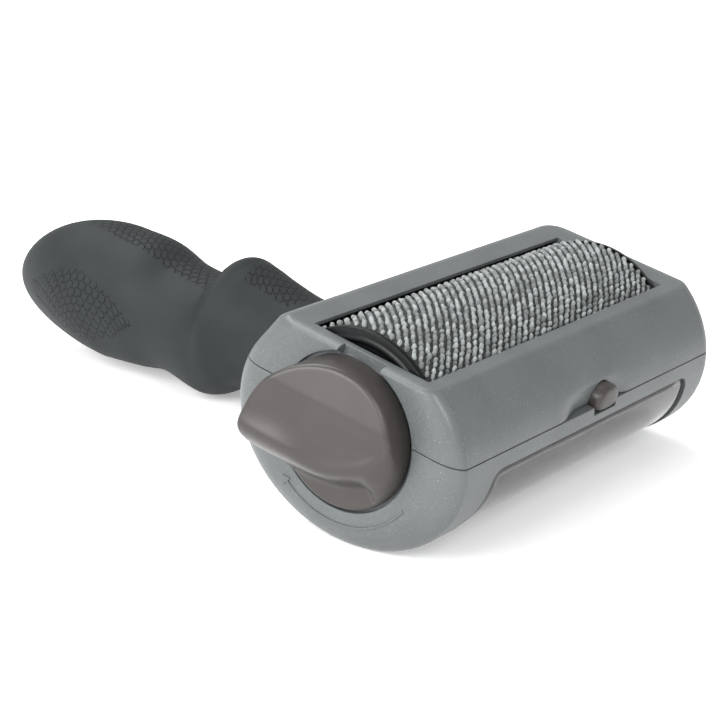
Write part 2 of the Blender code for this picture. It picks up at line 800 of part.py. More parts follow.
def smooth(stations, position):
    """Values between stations on a Catmull-Rom curve with uneven steps."""
    last = len(stations) - 1
    index = 0
    while index < last - 1 and position > stations[index + 1][0]:
        index += 1
    first, second = stations[index], stations[index + 1]
    before, after = stations[max(index - 1, 0)], stations[min(index + 2, last)]
    span = second[0] - first[0]
    t = (position - first[0]) / span
    values = []
    for k in range(1, len(first)):
        slope0 = (second[k] - before[k]) / (second[0] - before[0]) * span
        slope1 = (after[k] - first[k]) / (after[0] - first[0]) * span
        values.append(
            (2 * t**3 - 3 * t**2 + 1) * first[k]
            + (t**3 - 2 * t**2 + t) * slope0
            + (3 * t**2 - 2 * t**3) * second[k]
            + (t**3 - t**2) * slope1
        )
    return values


def grip_form(name, skin, rings_count, sides, lead=0.0):
    """Grip's body to its round tip, moved inward by skin, with a straight lead before its start."""
    start = GRIP_STATIONS[0][0]
    end = GRIP_STATIONS[-1][0]
    rings = []

    def ring(y, top, bottom, width):
        middle, height = (top + bottom) / 2, (top - bottom) / 2
        points = []
        for i in range(sides):
            angle = math.tau * i / sides
            points.append((GRIP_CENTRE_X + width * math.cos(angle), y, middle + height * math.sin(angle)))
        return points

    for i in range(rings_count):
        y = start + (end - start) * i / (rings_count - 1)
        t, b, w = smooth(GRIP_STATIONS, y)
        if i == 0 and lead:
            rings.append(ring(y - lead, t - skin, b + skin, w - skin))
        rings.append(ring(y, t - skin, b + skin, w - skin))
    top, bottom, width = GRIP_STATIONS[-1][1:]
    reach = GRIP_TIP_Y - skin - end
    last = math.radians(86)
    for i in range(1, GRIP_END_RINGS + 1):
        angle = last * i / GRIP_END_RINGS
        along = (math.sin(angle) / math.sin(last)) ** (2 / GRIP_TIP_FULLNESS)
        share = math.cos(angle) ** (2 / GRIP_TIP_FULLNESS)
        middle = (top + bottom) / 2 + 3.4 * along * (1 - along) - 1.0 * along**6
        height = ((top - bottom) / 2 - skin) * share
        rings.append(ring(end + reach * along, middle + height, middle - height, (width - skin) * share))
    return loft(name, rings)


def make_grip(level, head):
    grip = grip_form("grip_overmold", 0.0, GRIP_RINGS, GRIP_SIDES)
    hollow = grip_form("grip_hollow", GRIP_SKIN, CORE_RINGS, CORE_SIDES, 4.0)
    core = grip_form("handle_core", GRIP_SKIN + GAP, CORE_RINGS, CORE_SIDES)
    head_room = head_block("grip_head_room", GAP)
    core_room = head_block("core_head_room", GAP)
    cut(grip, hollow, head_room)
    cut(core, core_room)
    for number, x in enumerate(HANDLE_SCREW_X):
        hole = rod_y(f"core_screw_hole_{number}", 1.6, (20.0, 37.0), x, HANDLE_SCREW_Z)
        cut(core, hole)
        seat(hole, head)
    for thing in (head_room, core_room):
        seat(thing, head)
    for thing in (grip, hollow, core):
        seat(thing, level)
    finish(grip, "rubber")
    finish(core, "core")


def make_screws(name, places, head_radius, shank_radius, head_y, shank_y, holder, pivot):
    """Round-headed screws along Y, each a head and a shank in one turned form."""
    for label, (x, z) in zip(("near", "far"), places):
        steps = (
            (head_y[0], head_radius * 0.75),
            (head_y[0] + 0.5, head_radius),
            (head_y[1], head_radius),
            (head_y[1], shank_radius),
            (shank_y, shank_radius),
        )
        rings = []
        for y, radius in steps:
            angles = [math.tau * i / 16 for i in range(16)]
            rings.append([(x + radius * math.cos(a), y, z + radius * math.sin(a)) for a in angles])
        screw = loft(f"{name}_{label}", rings)
        seat(screw, holder, pivot)
        finish(screw, "steel")


# ---------------------------------------------------------------- assembly


def model_bounds():
    """Lowest and highest corners of everything that is part of the model."""
    bpy.context.view_layer.update()
    graph = bpy.context.evaluated_depsgraph_get()
    low, high = Vector((1e9,) * 3), Vector((-1e9,) * 3)
    for thing in bpy.context.scene.objects:
        if thing.type != "MESH" or thing.hide_render:
            continue
        shown = thing.evaluated_get(graph)
        for vertex in shown.data.vertices:
            point = shown.matrix_world @ vertex.co
            low = Vector(map(min, low, point))
            high = Vector(map(max, high, point))
    return low, high


def main():
    for thing in list(bpy.data.objects):
        bpy.data.objects.remove(thing, do_unlink=True)
    level = empty("level_frame")
    head = empty("head_frame", level)
    head.rotation_euler.x = HEAD_TILT
    hinge = (0.0, HINGE_Y, HINGE_Z)
    cover = empty("cover_hinge", head, hinge)
    roller = empty("roller_axis", cover, (0.0, -HINGE_Y, -HINGE_Z))
    latch_place = (LATCH_X, LATCH_FRONT_Y, LATCH_BASE_Z)
    latch = empty("latch_slide", head, latch_place)

    make_bin(head)
    make_lens(head)
    make_hinge_pins(head)
    make_latch(latch, latch_place)
    make_grip(level, head)
    handle_places = [(x, HANDLE_SCREW_Z) for x in HANDLE_SCREW_X]
    make_screws("handle_screw", handle_places, 2.6, 1.3, (22.6, 24.1), 36.0, head, (0, 0, 0))

    make_cover(cover, hinge)
    make_bushings(cover, hinge)
    make_comb(cover, hinge)
    make_comb_screws(cover, hinge)

    make_shaft(roller)
    make_core(roller)
    make_sleeve(roller)
    make_discs(roller)
    make_knob(roller)
    make_retaining_ring(roller)

    low, high = model_bounds()
    level.location = (-(low.x + high.x) / 2, -(low.y + high.y) / 2, -low.z)


main()
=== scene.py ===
"""Lint roller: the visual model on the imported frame. Shapes are in millimetres in two frames.

The head frame has its origin on the roller's axis at the knob end, +X along the roller, +Y towards
the handle and +Z square to the flat top. The level frame has the same origin and isn't tilted.
"""

import json
import math
from dataclasses import dataclass

import bmesh
import bpy
import numpy as np
from mathutils import Matrix, Vector


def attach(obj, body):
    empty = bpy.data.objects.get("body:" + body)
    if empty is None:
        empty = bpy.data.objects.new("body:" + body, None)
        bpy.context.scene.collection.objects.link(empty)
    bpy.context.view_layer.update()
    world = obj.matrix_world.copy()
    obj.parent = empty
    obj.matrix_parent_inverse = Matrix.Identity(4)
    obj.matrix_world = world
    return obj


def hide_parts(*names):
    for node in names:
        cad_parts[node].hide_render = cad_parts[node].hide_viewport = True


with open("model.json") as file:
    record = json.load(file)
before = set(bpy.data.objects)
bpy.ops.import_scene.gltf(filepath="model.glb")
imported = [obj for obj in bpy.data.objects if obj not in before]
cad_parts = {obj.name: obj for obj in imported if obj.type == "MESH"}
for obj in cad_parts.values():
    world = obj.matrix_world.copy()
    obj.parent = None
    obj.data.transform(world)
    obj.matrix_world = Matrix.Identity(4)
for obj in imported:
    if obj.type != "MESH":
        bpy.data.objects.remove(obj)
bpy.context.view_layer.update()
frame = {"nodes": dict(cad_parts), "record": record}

joints = {joint["name"]: joint for joint in frame["record"]["behaviour"]["joints"]}
AXIS_POINT = Vector(joints["knob_spin"]["pos_m"])
TILT = math.atan2(joints["latch_press"]["axis"][2], joints["latch_press"]["axis"][1])
LEVEL = Matrix.Translation(AXIS_POINT) @ Matrix.Scale(0.001, 4)
HEAD = Matrix.Translation(AXIS_POINT) @ Matrix.Rotation(TILT, 4, "X") @ Matrix.Scale(0.001, 4)

# Camera: where it stands from the roller's axis, where it looks, and which way is up in it
CAMERA_FROM_AXIS = (-309.3, -234.7, 149.5)
CAMERA_LOOKS = (0.758, 0.566, -0.324)
CAMERA_UP = (0.2353, 0.2257, 0.9454)
CAMERA_LENS = 97.3

# Head
HEAD_LENGTH = 112.0
WALL = 2.4
SEAM_Z = 4.5
SEAM_GAP = 0.26
NEAR_WALL_X = 3.3
FAR_WALL_X = 109.5
NEAR_ROUND = 3.6
FAR_ROUND = 5.8
BELLY_STEPS = 150
CORNER_STEPS = 12
ROUND_STEPS = 12
STATION = 1.8
OPENING_X = (4.0, 102.5)
OPENING_HALF_WIDTH = 15.6
ROLLER_SPACE_RADIUS = 23.4
RECESS_RADIUS = 18.1
RECESS_DEPTH = 1.2
NOTCH_HALF_WIDTH = 5.8
NOTCH_X = 2.5
NOTCH_FLOOR_Z = 16.2
TAB_HALF_WIDTH = 9.0
TAB_BOTTOM_Z = -8.5
NEAR_TAB_X = (1.5, 3.2)
FAR_TAB_X = (103.4, 105.2)
BEARING_HOLE = 4.6
SLOT_Y = (-11.8, 9.5)
SLOT_BOTTOM_Z = -8.9
HINGE_Y = 31.2
HINGE_Z = 4.5
KNUCKLE_RADIUS = 2.4
KNUCKLE_ROOM_RADIUS = 2.8
KNUCKLE_GAP = 0.3
PIN_BORE_RADIUS = 1.3
PIN_SPANS = ((21.0, 37.3), (74.7, 91.0))
BIN_KNUCKLES = ((22.0, 29.0), (83.0, 90.0))
COVER_KNUCKLES = ((29.3, 36.3), (75.7, 82.7))

# Latch button and the dish beside it
LATCH_X = 58.7
LATCH_HALF_WIDTH = 4.4
LATCH_BASE_Z = 2.9
LATCH_TOP_Z = 8.9
LATCH_FRONT_Y = -30.8
LATCH_ARCH_GAP = 0.3
LATCH_ARCH_SHOULDER = 0.8
# Button's rounded edge: distance behind its front, and how far its outline grows there
BUTTON_EDGE = ((1.3, 0.0), (0.8, -0.12), (0.4, -0.4), (0.15, -0.8), (0.02, -1.4), (-0.12, -2.3))
DISH_DEPTH = 2.0
DISH_TOP_Z = 10.2
DISH_X = (40.0, 49.5, 61.0, 69.5)

# Window
WINDOW_TOP_Z = 0.9
WINDOW_ARC = 29.0
WINDOW_TOP_X = (14.0, 98.0)
WINDOW_FLARE = 4.0
WINDOW_CORNERS = (3.0, 6.0)
LEDGE = 1.2
WINDOW_BAR_X = (57.5, 61.5)
PANE_DEPTHS = (-0.35, -1.45)
PANE_EDGE_DROP = 0.55
PANE_EDGE_WIDTH = 1.6

# Raised arrow on the bin's near end
ARROW_RADIUS = 21.4
ARROW_WIDTH = 0.55
ARROW_X = (0.3, -0.22)
ARROW_DEGREES = (208, 303)
ARROW_STEPS = 40
ARROW_HEAD_HALF_WIDTH = 1.3
ARROW_HEAD_TURN = 0.085

# Roller
ROLLER_X = (4.4, 101.9)
DISC_THICK = 1.5
DISC_RADIUS = 22.3
CORE_RADIUS = 20.3
CORE_WALL = 2.0
PILE_BASE = 21.9
PILE_BORE = 20.6
PILE_END_GAP = 0.3
PILE_BEVEL = 0.3
TUFT_PITCH_X = 2.52
TUFT_ROWS = 122
TUFT_SIZE = (0.80, 0.52, 0.50)
TUFT_RADIUS = 22.35
TUFT_HEADING = math.pi / 4
TUFT_LEAN = 0.38
# Spread of each tuft's place, radius, heading, lean, size and surface
PLACE_SPREAD = 0.09
RADIUS_SPREAD = 0.05
HEADING_SPREAD = 0.22
LEAN_SPREAD = 0.16
SIZE_SPREAD = 0.08
SURFACE_SPREAD = 0.055

# Knob
KNOB_RADIUS = 17.3
KNOB_BACK_X = 0.9
KNOB_HEIGHT = 15.25
KNOB_FLOOR = 1.0
KNOB_TABLE_Y = 18.0
# Crease above the crest: where it runs and how high it stands, each a value at y = 0 and a slope
CREASE_PLACE = (9.0, 0.115)
CREASE_HEIGHT = (10.2, 0.2)
CREST_TO_CREASE = 2.0
FACE_HOLLOW = 3.5
FACE_FALL = 0.35
WALL_ROUNDNESS = 1.4
# Rim: its least rounding, and the wider one about a direction in degrees
RIM_ROUNDING = 0.9
RIM_EXTRA = 3.4
RIM_WIDEST_AT = 203
RIM_WIDEST_REACH = 42
# Knob's S-shaped crest, along Y: where it runs and how high it stands
KNOB_CREST = (
    (-18.0, 8.0, 7.0),
    (-16.0, 4.6, 7.6),
    (-13.5, 1.2, 8.2),
    (-10.0, -1.6, 9.0),
    (-6.5, -3.3, 10.0),
    (-3.0, -3.9, 11.1),
    (0.5, -3.3, 12.2),
    (4.0, -2.2, 13.3),
    (8.0, -1.4, 14.3),
    (12.0, -1.1, 14.9),
    (18.0, -0.8, 15.2),
)
# Foot of the wall under the crest, where the finger hollow begins
KNOB_FOOT = (
    (-18.0, -13.0),
    (-13.0, -12.6),
    (-11.5, -9.8),
    (-8.5, -9.4),
    (-4.0, -11.3),
    (5.0, -13.4),
    (18.0, -14.0),
)

# Grip, in the level frame: distance from the roller's axis, top, bottom and half width
GRIP_CENTRE_X = 56.0
GRIP_STATIONS = (
    (26.0, 1.5, -16.0, 15.5),
    (42.0, 3.0, -16.5, 14.4),
    (56.0, 5.4, -17.2, 13.6),
    (66.0, 8.6, -19.4, 14.6),
    (73.0, 11.0, -21.8, 16.3),
    (77.0, 11.5, -24.2, 17.3),
    (80.5, 6.8, -25.8, 16.6),
    (84.0, 5.0, -26.3, 16.4),
    (96.0, 6.6, -23.4, 15.8),
    (106.0, 10.6, -24.2, 17.0),
    (118.0, 12.1, -24.6, 17.5),
)
GRIP_TIP_Y = 155.25
GRIP_TIP_FULLNESS = 1.8
GRIP_TIP_LIFT = 3.4
GRIP_TIP_DROP = 1.0
GRIP_ROWS = 170
GRIP_TIP_ROWS = 70

# Engraved scales: one cell's width, and the patches that carry them
SCALE_CELL = 2.4
PATCH_CENTRES = (183.0, -3.0)
PATCH_Y = 121.0
PATCH_REACH = (21.0, 32.0)
PATCH_SHAPE = 1.4
STRIP_Y = (76.0, 78.0, 88.0, 113.0, 125.0, 137.0)
STRIP_HALF_TURN = (0.0, 29.0, 21.0, 20.0, 13.0, 0.0)
HUMP_Y = (54.5, 56.5, 70.0, 72.0)
HUMP_HALF_TURN = (0.0, 25.0, 25.0, 0.0)

# Studio: area lights that face the origin, with their places, sizes in metres and powers in watts
LIGHTS = (
    ("left_key", (-0.9, 0.1, 0.55), (0.8, 0.6), 13.0),
    ("top_fill", (0.1, 0.6, 1.1), (1.0, 0.8), 13.0),
    ("front_fill", (0.4, -1.0, 0.5), (0.8, 0.6), 1.0),
    ("edge_strip", (-0.46, -0.65, 0.54), (0.08, 0.4), 3.0),
)
FLOOR_HALF_SIZE = 6.0
FLOOR_GLOW = 0.3
SKY_AT_HORIZON = 0.78
SKY_ABOVE = 0.45


@dataclass
class Section:
    """Cross-section of the head: an ellipse cut by the flat top, with two rounded top corners."""

    half_width: float
    half_height: float
    centre_y: float
    centre_z: float
    top: float
    back_corner_y: float
    back_round: float
    front_round: float


FULL = Section(31.0, 25.3, 0.4, -1.3, 18.3, 21.0, 4.0, 2.4)
END = Section(24.2, 20.8, 0.4, 0.6, 17.2, 16.0, 4.0, 2.4)


# ---------------------------------------------------------------- meshes


def mesh_object(name, points, faces):
    """Object with a mesh in millimetres, not placed yet."""
    mesh = bpy.data.meshes.new(name)
    mesh.from_pydata([tuple(map(float, point)) for point in points], [], faces)
    mesh.validate()
    thing = bpy.data.objects.new(name, mesh)
    bpy.context.scene.collection.objects.link(thing)
    return thing


def outward(thing):
    """Turn the faces of a closed mesh outwards."""
    build = bmesh.new()
    build.from_mesh(thing.data)
    bmesh.ops.recalc_face_normals(build, faces=build.faces)
    build.to_mesh(thing.data)
    build.free()


def loft(name, rings):
    """Closed mesh through rings of points, with a flat cap at each end."""
    count = len(rings[0])
    points = [point for ring in rings for point in ring]
    faces = []
    for r in range(len(rings) - 1):
        for i in range(count):
            j = (i + 1) % count
            faces.append((r * count + i, r * count + j, (r + 1) * count + j, (r + 1) * count + i))
    faces.append(tuple(reversed(range(count))))
    faces.append(tuple(range(len(points) - count, len(points))))
    thing = mesh_object(name, points, faces)
    outward(thing)
    return thing


def turned(name, profile, sides):
    """Solid turned about the X axis from a closed (x, radius) profile that stays off the axis."""
    count = len(profile)
    points, faces = [], []
    for i in range(sides):
        angle = math.tau * i / sides
        points += [(x, r * math.cos(angle), r * math.sin(angle)) for x, r in profile]
    for i in range(sides):
        k = (i + 1) % sides
        for j in range(count):
            m = (j + 1) % count
            faces.append((i * count + j, i * count + m, k * count + m, k * count + j))
    thing = mesh_object(name, points, faces)
    outward(thing)
    return thing


def circle(radius, sides, centre=(0.0, 0.0)):
    angles = [math.tau * i / sides for i in range(sides)]
    return [(centre[0] + radius * math.cos(a), centre[1] + radius * math.sin(a)) for a in angles]


def prism(name, outline, x_range):
    """Solid with one (y, z) outline along X."""
    return loft(name, [[(x, y, z) for y, z in outline] for x in x_range])


def rod(name, radius, x_range, centre=(0.0, 0.0), sides=96):
    return prism(name, circle(radius, sides, centre), x_range)


def block(name, x_range, y_range, z_range):
    (y0, y1), (z0, z1) = y_range, z_range
    return prism(name, [(y0, z0), (y1, z0), (y1, z1), (y0, z1)], x_range)


def settle(thing):
    """Make the object's modifiers part of its mesh."""
    graph = bpy.context.evaluated_depsgraph_get()
    mesh = bpy.data.meshes.new_from_object(thing.evaluated_get(graph))
    thing.modifiers.clear()
    thing.data = mesh


def combine(target, operation, helpers):
    """Boolean of each helper into the target, applied; the helpers are removed."""
    for helper in helpers:
        modifier = target.modifiers.new("boolean", "BOOLEAN")
        modifier.operation = operation
        modifier.object = helper
        modifier.solver = "EXACT"
    settle(target)
    for helper in helpers:
        bpy.data.objects.remove(helper, do_unlink=True)


def smooth_step(value, low, high):
    share = np.clip((np.asarray(value, float) - low) / (high - low), 0.0, 1.0)
    return share * share * (3 - 2 * share)


def smooth(stations, position):
    """Values between stations on a Catmull-Rom curve with uneven steps."""
    last = len(stations) - 1
    index = 0
    while index < last - 1 and position > stations[index + 1][0]:
        index += 1
    first, second = stations[index], stations[index + 1]
    before, after = stations[max(index - 1, 0)], stations[min(index + 2, last)]
    span = second[0] - first[0]
    t = (position - first[0]) / span
    values = []
    for k in range(1, len(first)):
        slope0 = (second[k] - before[k]) / (second[0] - before[0]) * span
        slope1 = (after[k] - first[k]) / (after[0] - first[0]) * span
        values.append(
            (2 * t**3 - 3 * t**2 + 1) * first[k]
            + (t**3 - 2 * t**2 + t) * slope0
            + (3 * t**2 - 2 * t**3) * second[k]
            + (t**3 - t**2) * slope1
        )
    return values


def turned_from(degrees, centre):
    """Angle between directions, without its sign."""
    return np.abs((degrees - centre + 180) % 360 - 180)


def place(thing, placing, body, material, slot, *nodes, sharp=32):
    """Put a finished piece in the row frame: where it goes, what it rides on and what it stands for."""
    thing.data.transform(placing)
    thing.data.materials.clear()
    thing.data.materials.append(material)
    thing.data.shade_smooth()
    thing.data.set_sharp_from_angle(angle=math.radians(sharp))
    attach(thing, body)
    if nodes:
        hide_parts(*nodes)


def weigh_normals(thing):
    """Flat faces stay flat beside their rounded edges."""
    modifier = thing.modifiers.new("normals", "WEIGHTED_NORMAL")
    modifier.keep_sharp = True
    modifier.weight = 80


# ---------------------------------------------------------------- materials


def new_material(name, colour, roughness, metallic=0.0):
    material = bpy.data.materials.new(name)
    material.use_nodes = True
    shader = material.node_tree.nodes["Principled BSDF"]
    shader.inputs["Base Color"].default_value = (*colour, 1.0)
    shader.inputs["Roughness"].default_value = roughness
    shader.inputs["Metallic"].default_value = metallic
    return material, material.node_tree, shader


def feed(tree, value, socket):
    if isinstance(value, bpy.types.NodeSocket):
        tree.links.new(value, socket)
    else:
        socket.default_value = value


def calc(tree, operation, *values):
    node = tree.nodes.new("ShaderNodeMath")
    node.operation = operation
    for socket, value in zip(node.inputs, values):
        feed(tree, value, socket)
    return node.outputs[0]


def remap(tree, value, low, high, to_low, to_high):
    node = tree.nodes.new("ShaderNodeMapRange")
    node.interpolation_type = "SMOOTHSTEP"
    for socket, number in zip(node.inputs[:5], (value, low, high, to_low, to_high)):
        feed(tree, number, socket)
    return node.outputs[0]


def coordinates(tree):
    """Object coordinates in millimetres."""
    source = tree.nodes.new("ShaderNodeTexCoord")
    scaled = tree.nodes.new("ShaderNodeVectorMath")
    scaled.operation = "SCALE"
    scaled.inputs["Scale"].default_value = 1000.0
    tree.links.new(source.outputs["Object"], scaled.inputs[0])
    return scaled.outputs[0]


def noise(tree, vector, scale, detail=3.0, roughness=0.5):
    node = tree.nodes.new("ShaderNodeTexNoise")
    node.inputs["Scale"].default_value = scale
    node.inputs["Detail"].default_value = detail
    node.inputs["Roughness"].default_value = roughness
    tree.links.new(vector, node.inputs["Vector"])
    return node.outputs["Fac"]


def flecks(tree, vector, scale):
    """Distance from a random point and that point's random number, for specks."""
    node = tree.nodes.new("ShaderNodeTexVoronoi")
    node.inputs["Scale"].default_value = scale
    tree.links.new(vector, node.inputs["Vector"])
    split = tree.nodes.new("ShaderNodeSeparateColor")
    tree.links.new(node.outputs["Color"], split.inputs[0])
    return node.outputs["Distance"], split.outputs[0]


def mixed(tree, share, first, second):
    """Colour mix whose sockets are found by number, as the node holds several of one name."""
    node = tree.nodes.new("ShaderNodeMix")
    node.data_type = "RGBA"
    feed(tree, share, node.inputs[0])
    for socket, colour in ((node.inputs[6], first), (node.inputs[7], second)):
        feed(tree, colour if isinstance(colour, bpy.types.NodeSocket) else (*colour, 1.0), socket)
    return node.outputs[2]


def bump(tree, shader, height, distance, strength=1.0, rounding=0.0):
    """Relief from a height, in millimetres, over edges softened by rounding."""
    node = tree.nodes.new("ShaderNodeBump")
    node.inputs["Strength"].default_value = strength
    node.inputs["Distance"].default_value = distance * 0.001
    tree.links.new(height, node.inputs["Height"])
    if rounding:
        soft = tree.nodes.new("ShaderNodeBevel")
        soft.samples = 4
        soft.inputs["Radius"].default_value = rounding * 0.001
        tree.links.new(soft.outputs[0], node.inputs["Normal"])
    tree.links.new(node.outputs[0], shader.inputs["Normal"])


def pearl_plastic(name, dark, light, fleck, roughness, amount, rounding):
    """Moulded plastic with cloudy pearl pigment and sparse bright flakes."""
    material, tree, shader = new_material(name, light, roughness)
    where = coordinates(tree)
    cloud = remap(tree, noise(tree, where, 0.055, 4.0, 0.6), 0.3, 0.7, 0.0, 1.0)
    body = mixed(tree, cloud, dark, light)
    distance, chance = flecks(tree, where, 1.7)
    speck = calc(
        tree, "MULTIPLY",
        remap(tree, distance, 0.10, 0.24, 1.0, 0.0),
        remap(tree, chance, 1.0 - amount, 1.0 - amount * 0.6, 0.0, 1.0),
    )
    fine_distance, fine_chance = flecks(tree, where, 3.6)
    dust = calc(
        tree, "MULTIPLY",
        remap(tree, fine_distance, 0.15, 0.4, 0.35, 0.0),
        remap(tree, fine_chance, 0.55, 0.9, 0.0, 1.0),
    )
    shine = calc(tree, "MAXIMUM", speck, dust)
    tree.links.new(mixed(tree, shine, body, fleck), shader.inputs["Base Color"])
    grain = noise(tree, where, 2.4, 2.0)
    rough = remap(tree, grain, 0.3, 0.7, roughness - 0.04, roughness + 0.05)
    polished = calc(tree, "SUBTRACT", rough, calc(tree, "MULTIPLY", speck, 0.15))
    tree.links.new(polished, shader.inputs["Roughness"])
    shader.inputs["Specular IOR Level"].default_value = 0.45
    bump(tree, shader, grain, 0.012, 0.5, rounding)
    return material


def housing_material():
    dark, light, fleck = (0.087, 0.096, 0.098), (0.103, 0.113, 0.115), (0.31, 0.33, 0.33)
    return pearl_plastic("housing_plastic", dark, light, fleck, roughness=0.36, amount=0.10, rounding=0.35)


def knob_material():
    dark, light, fleck = (0.037, 0.031, 0.029), (0.043, 0.037, 0.035), (0.075, 0.068, 0.065)
    return pearl_plastic("knob_plastic", dark, light, fleck, roughness=0.36, amount=0.05, rounding=0.3)


def rubber_material():
    """Soft-touch grip: fine matte grain, with engraved open rings where the mask says; the rings are also
    painted near black, as painted shade in the grooves.
    """
    material, tree, shader = new_material("grip_rubber", (0.034, 0.040, 0.041), 0.6)
    where = coordinates(tree)
    grain = noise(tree, where, 6.0, 3.0, 0.6)
    patches = tree.nodes.new("ShaderNodeAttribute")
    patches.attribute_name = "scale_mask"
    unwrapped = tree.nodes.new("ShaderNodeUVMap")
    unwrapped.uv_map = "wrap"
    split = tree.nodes.new("ShaderNodeSeparateXYZ")
    tree.links.new(unwrapped.outputs[0], split.inputs[0])
    u, v = split.outputs[0], split.outputs[1]
    tall = math.sqrt(3.0)
    near, side = [], []
    for shift in (0.0, 0.5):
        a = calc(tree, "FLOORED_MODULO", calc(tree, "SUBTRACT", u, shift), 1.0)
        a = calc(tree, "SUBTRACT", a, 0.5)
        b = calc(tree, "FLOORED_MODULO", calc(tree, "SUBTRACT", v, shift * tall), tall)
        b = calc(tree, "SUBTRACT", b, tall / 2)
        squares = calc(tree, "ADD", calc(tree, "MULTIPLY", a, a), calc(tree, "MULTIPLY", b, b))
        near.append(calc(tree, "SQRT", squares))
        side.append(a)
    radius = calc(tree, "MINIMUM", *near)
    first = calc(tree, "LESS_THAN", near[0], near[1])
    swap = calc(tree, "MULTIPLY", calc(tree, "SUBTRACT", *side), first)
    lean = calc(tree, "ADD", swap, side[1])
    ring = calc(
        tree, "MULTIPLY",
        remap(tree, radius, 0.35, 0.41, 0.0, 1.0),
        remap(tree, radius, 0.44, 0.50, 1.0, 0.0),
    )
    open_ring = calc(tree, "MULTIPLY", ring, remap(tree, lean, -0.25, 0.15, 1.0, 0.15))
    groove_and_shade = calc(tree, "MULTIPLY", open_ring, patches.outputs["Fac"])
    cloud = remap(tree, noise(tree, where, 0.05, 3.0), 0.3, 0.7, 0.0, 1.0)
    skin = mixed(tree, cloud, (0.012, 0.015, 0.016), (0.017, 0.021, 0.022))
    # Painted shade: the engraved grooves are painted near black, darker on one side of each ring.
    tree.links.new(mixed(tree, groove_and_shade, skin, (0.006, 0.007, 0.008)), shader.inputs["Base Color"])
    tree.links.new(remap(tree, grain, 0.3, 0.7, 0.55, 0.68), shader.inputs["Roughness"])
    shader.inputs["Specular IOR Level"].default_value = 0.24
    fine = calc(tree, "MULTIPLY", grain, 0.04)
    bump(tree, shader, calc(tree, "SUBTRACT", fine, groove_and_shade), 0.55, 1.0)
    return material


def black_material():
    material, tree, shader = new_material("black_plastic", (0.004, 0.0045, 0.005), 0.4)
    grain = noise(tree, coordinates(tree), 1.5, 4.0)
    tree.links.new(remap(tree, grain, 0.3, 0.7, 0.30, 0.42), shader.inputs["Roughness"])
    shader.inputs["Specular IOR Level"].default_value = 0.22
    bump(tree, shader, grain, 0.01, 0.5, 0.25)
    return material


def core_material():
    material, tree, shader = new_material("dark_plastic", (0.030, 0.033, 0.035), 0.5)
    grain = noise(tree, coordinates(tree), 2.0, 3.0)
    colour = mixed(tree, grain, (0.024, 0.027, 0.029), (0.040, 0.043, 0.045))
    tree.links.new(colour, shader.inputs["Base Color"])
    tree.links.new(remap(tree, grain, 0.3, 0.7, 0.42, 0.6), shader.inputs["Roughness"])
    bump(tree, shader, grain, 0.02, 0.5)
    return material


def steel_material():
    material, tree, shader = new_material("drawn_steel", (0.55, 0.55, 0.56), 0.3, 1.0)
    grain = noise(tree, coordinates(tree), 3.0, 4.0)
    tree.links.new(remap(tree, grain, 0.3, 0.7, 0.22, 0.4), shader.inputs["Roughness"])
    bump(tree, shader, grain, 0.01, 0.4)
    return material


def bushing_material():
    material, tree, shader = new_material("acetal", (0.66, 0.65, 0.61), 0.45)
    grain = noise(tree, coordinates(tree), 0.8, 3.0)
    colour = mixed(tree, grain, (0.60, 0.59, 0.55), (0.72, 0.71, 0.67))
    tree.links.new(colour, shader.inputs["Base Color"])
    bump(tree, shader, grain, 0.02, 0.4)
    return material


def window_material():
    """Clear smoked plastic with handling haze."""
    material, tree, shader = new_material("clear_plastic", (0.28, 0.272, 0.272), 0.1)
    where = coordinates(tree)
    haze = noise(tree, where, 0.09, 4.0, 0.6)
    tree.links.new(remap(tree, haze, 0.35, 0.75, 0.03, 0.12), shader.inputs["Roughness"])
    shader.inputs["Transmission Weight"].default_value = 0.9
    shader.inputs["IOR"].default_value = 1.46
    shader.inputs["Specular IOR Level"].default_value = 0.28
    bump(tree, shader, noise(tree, where, 0.10, 2.0), 0.05, 0.5)
    return material


def pile_material():
    """Stiff woven pile: each tuft a little lighter or darker, with fine fibres whose noise in the colour is
    also painted sparkle.
    """
    material, tree, shader = new_material("pile_fabric", (0.36, 0.38, 0.38), 0.8)
    where = coordinates(tree)
    tuft = tree.nodes.new("ShaderNodeAttribute")
    tuft.attribute_name = "tuft_shade"
    fibre_and_sparkle = noise(tree, where, 5.5, 4.0, 0.7)
    tuft_part = calc(tree, "MULTIPLY", tuft.outputs["Fac"], 0.6)
    # Painted sparkle: the fine fibre noise lightens and darkens the colour; the per-tuft part is the tufts'
    # own tone.
    tone = calc(tree, "ADD", tuft_part, calc(tree, "MULTIPLY", fibre_and_sparkle, 0.55))
    colour = mixed(tree, remap(tree, tone, 0.2, 0.95, 0.0, 1.0), (0.12, 0.133, 0.132), (0.39, 0.422, 0.418))
    tree.links.new(colour, shader.inputs["Base Color"])
    shader.inputs["Sheen Weight"].default_value = 0.25
    shader.inputs["Sheen Roughness"].default_value = 0.4
    shader.inputs["Specular IOR Level"].default_value = 0.4
    tree.links.new(remap(tree, fibre_and_sparkle, 0.3, 0.7, 0.5, 0.85), shader.inputs["Roughness"])
    bump(tree, shader, fibre_and_sparkle, 0.45, 0.9)
    return material


def backing_material():
    material, tree, shader = new_material("pile_backing", (0.06, 0.064, 0.064), 0.95)
    weave = noise(tree, coordinates(tree), 3.0, 4.0, 0.7)
    colour = mixed(tree, weave, (0.03, 0.033, 0.033), (0.06, 0.064, 0.064))
    tree.links.new(colour, shader.inputs["Base Color"])
    bump(tree, shader, weave, 0.2, 0.8)
    return material


# ---------------------------------------------------------------- head


def solve(function, low, high):
    """Angle between low and high where the function changes sign, by halving."""
    sign = function(low) > 0
    for _ in range(50):
        middle = (low + high) / 2
        if (function(middle) > 0) == sign:
            low = middle
        else:
            high = middle
    return (low + high) / 2


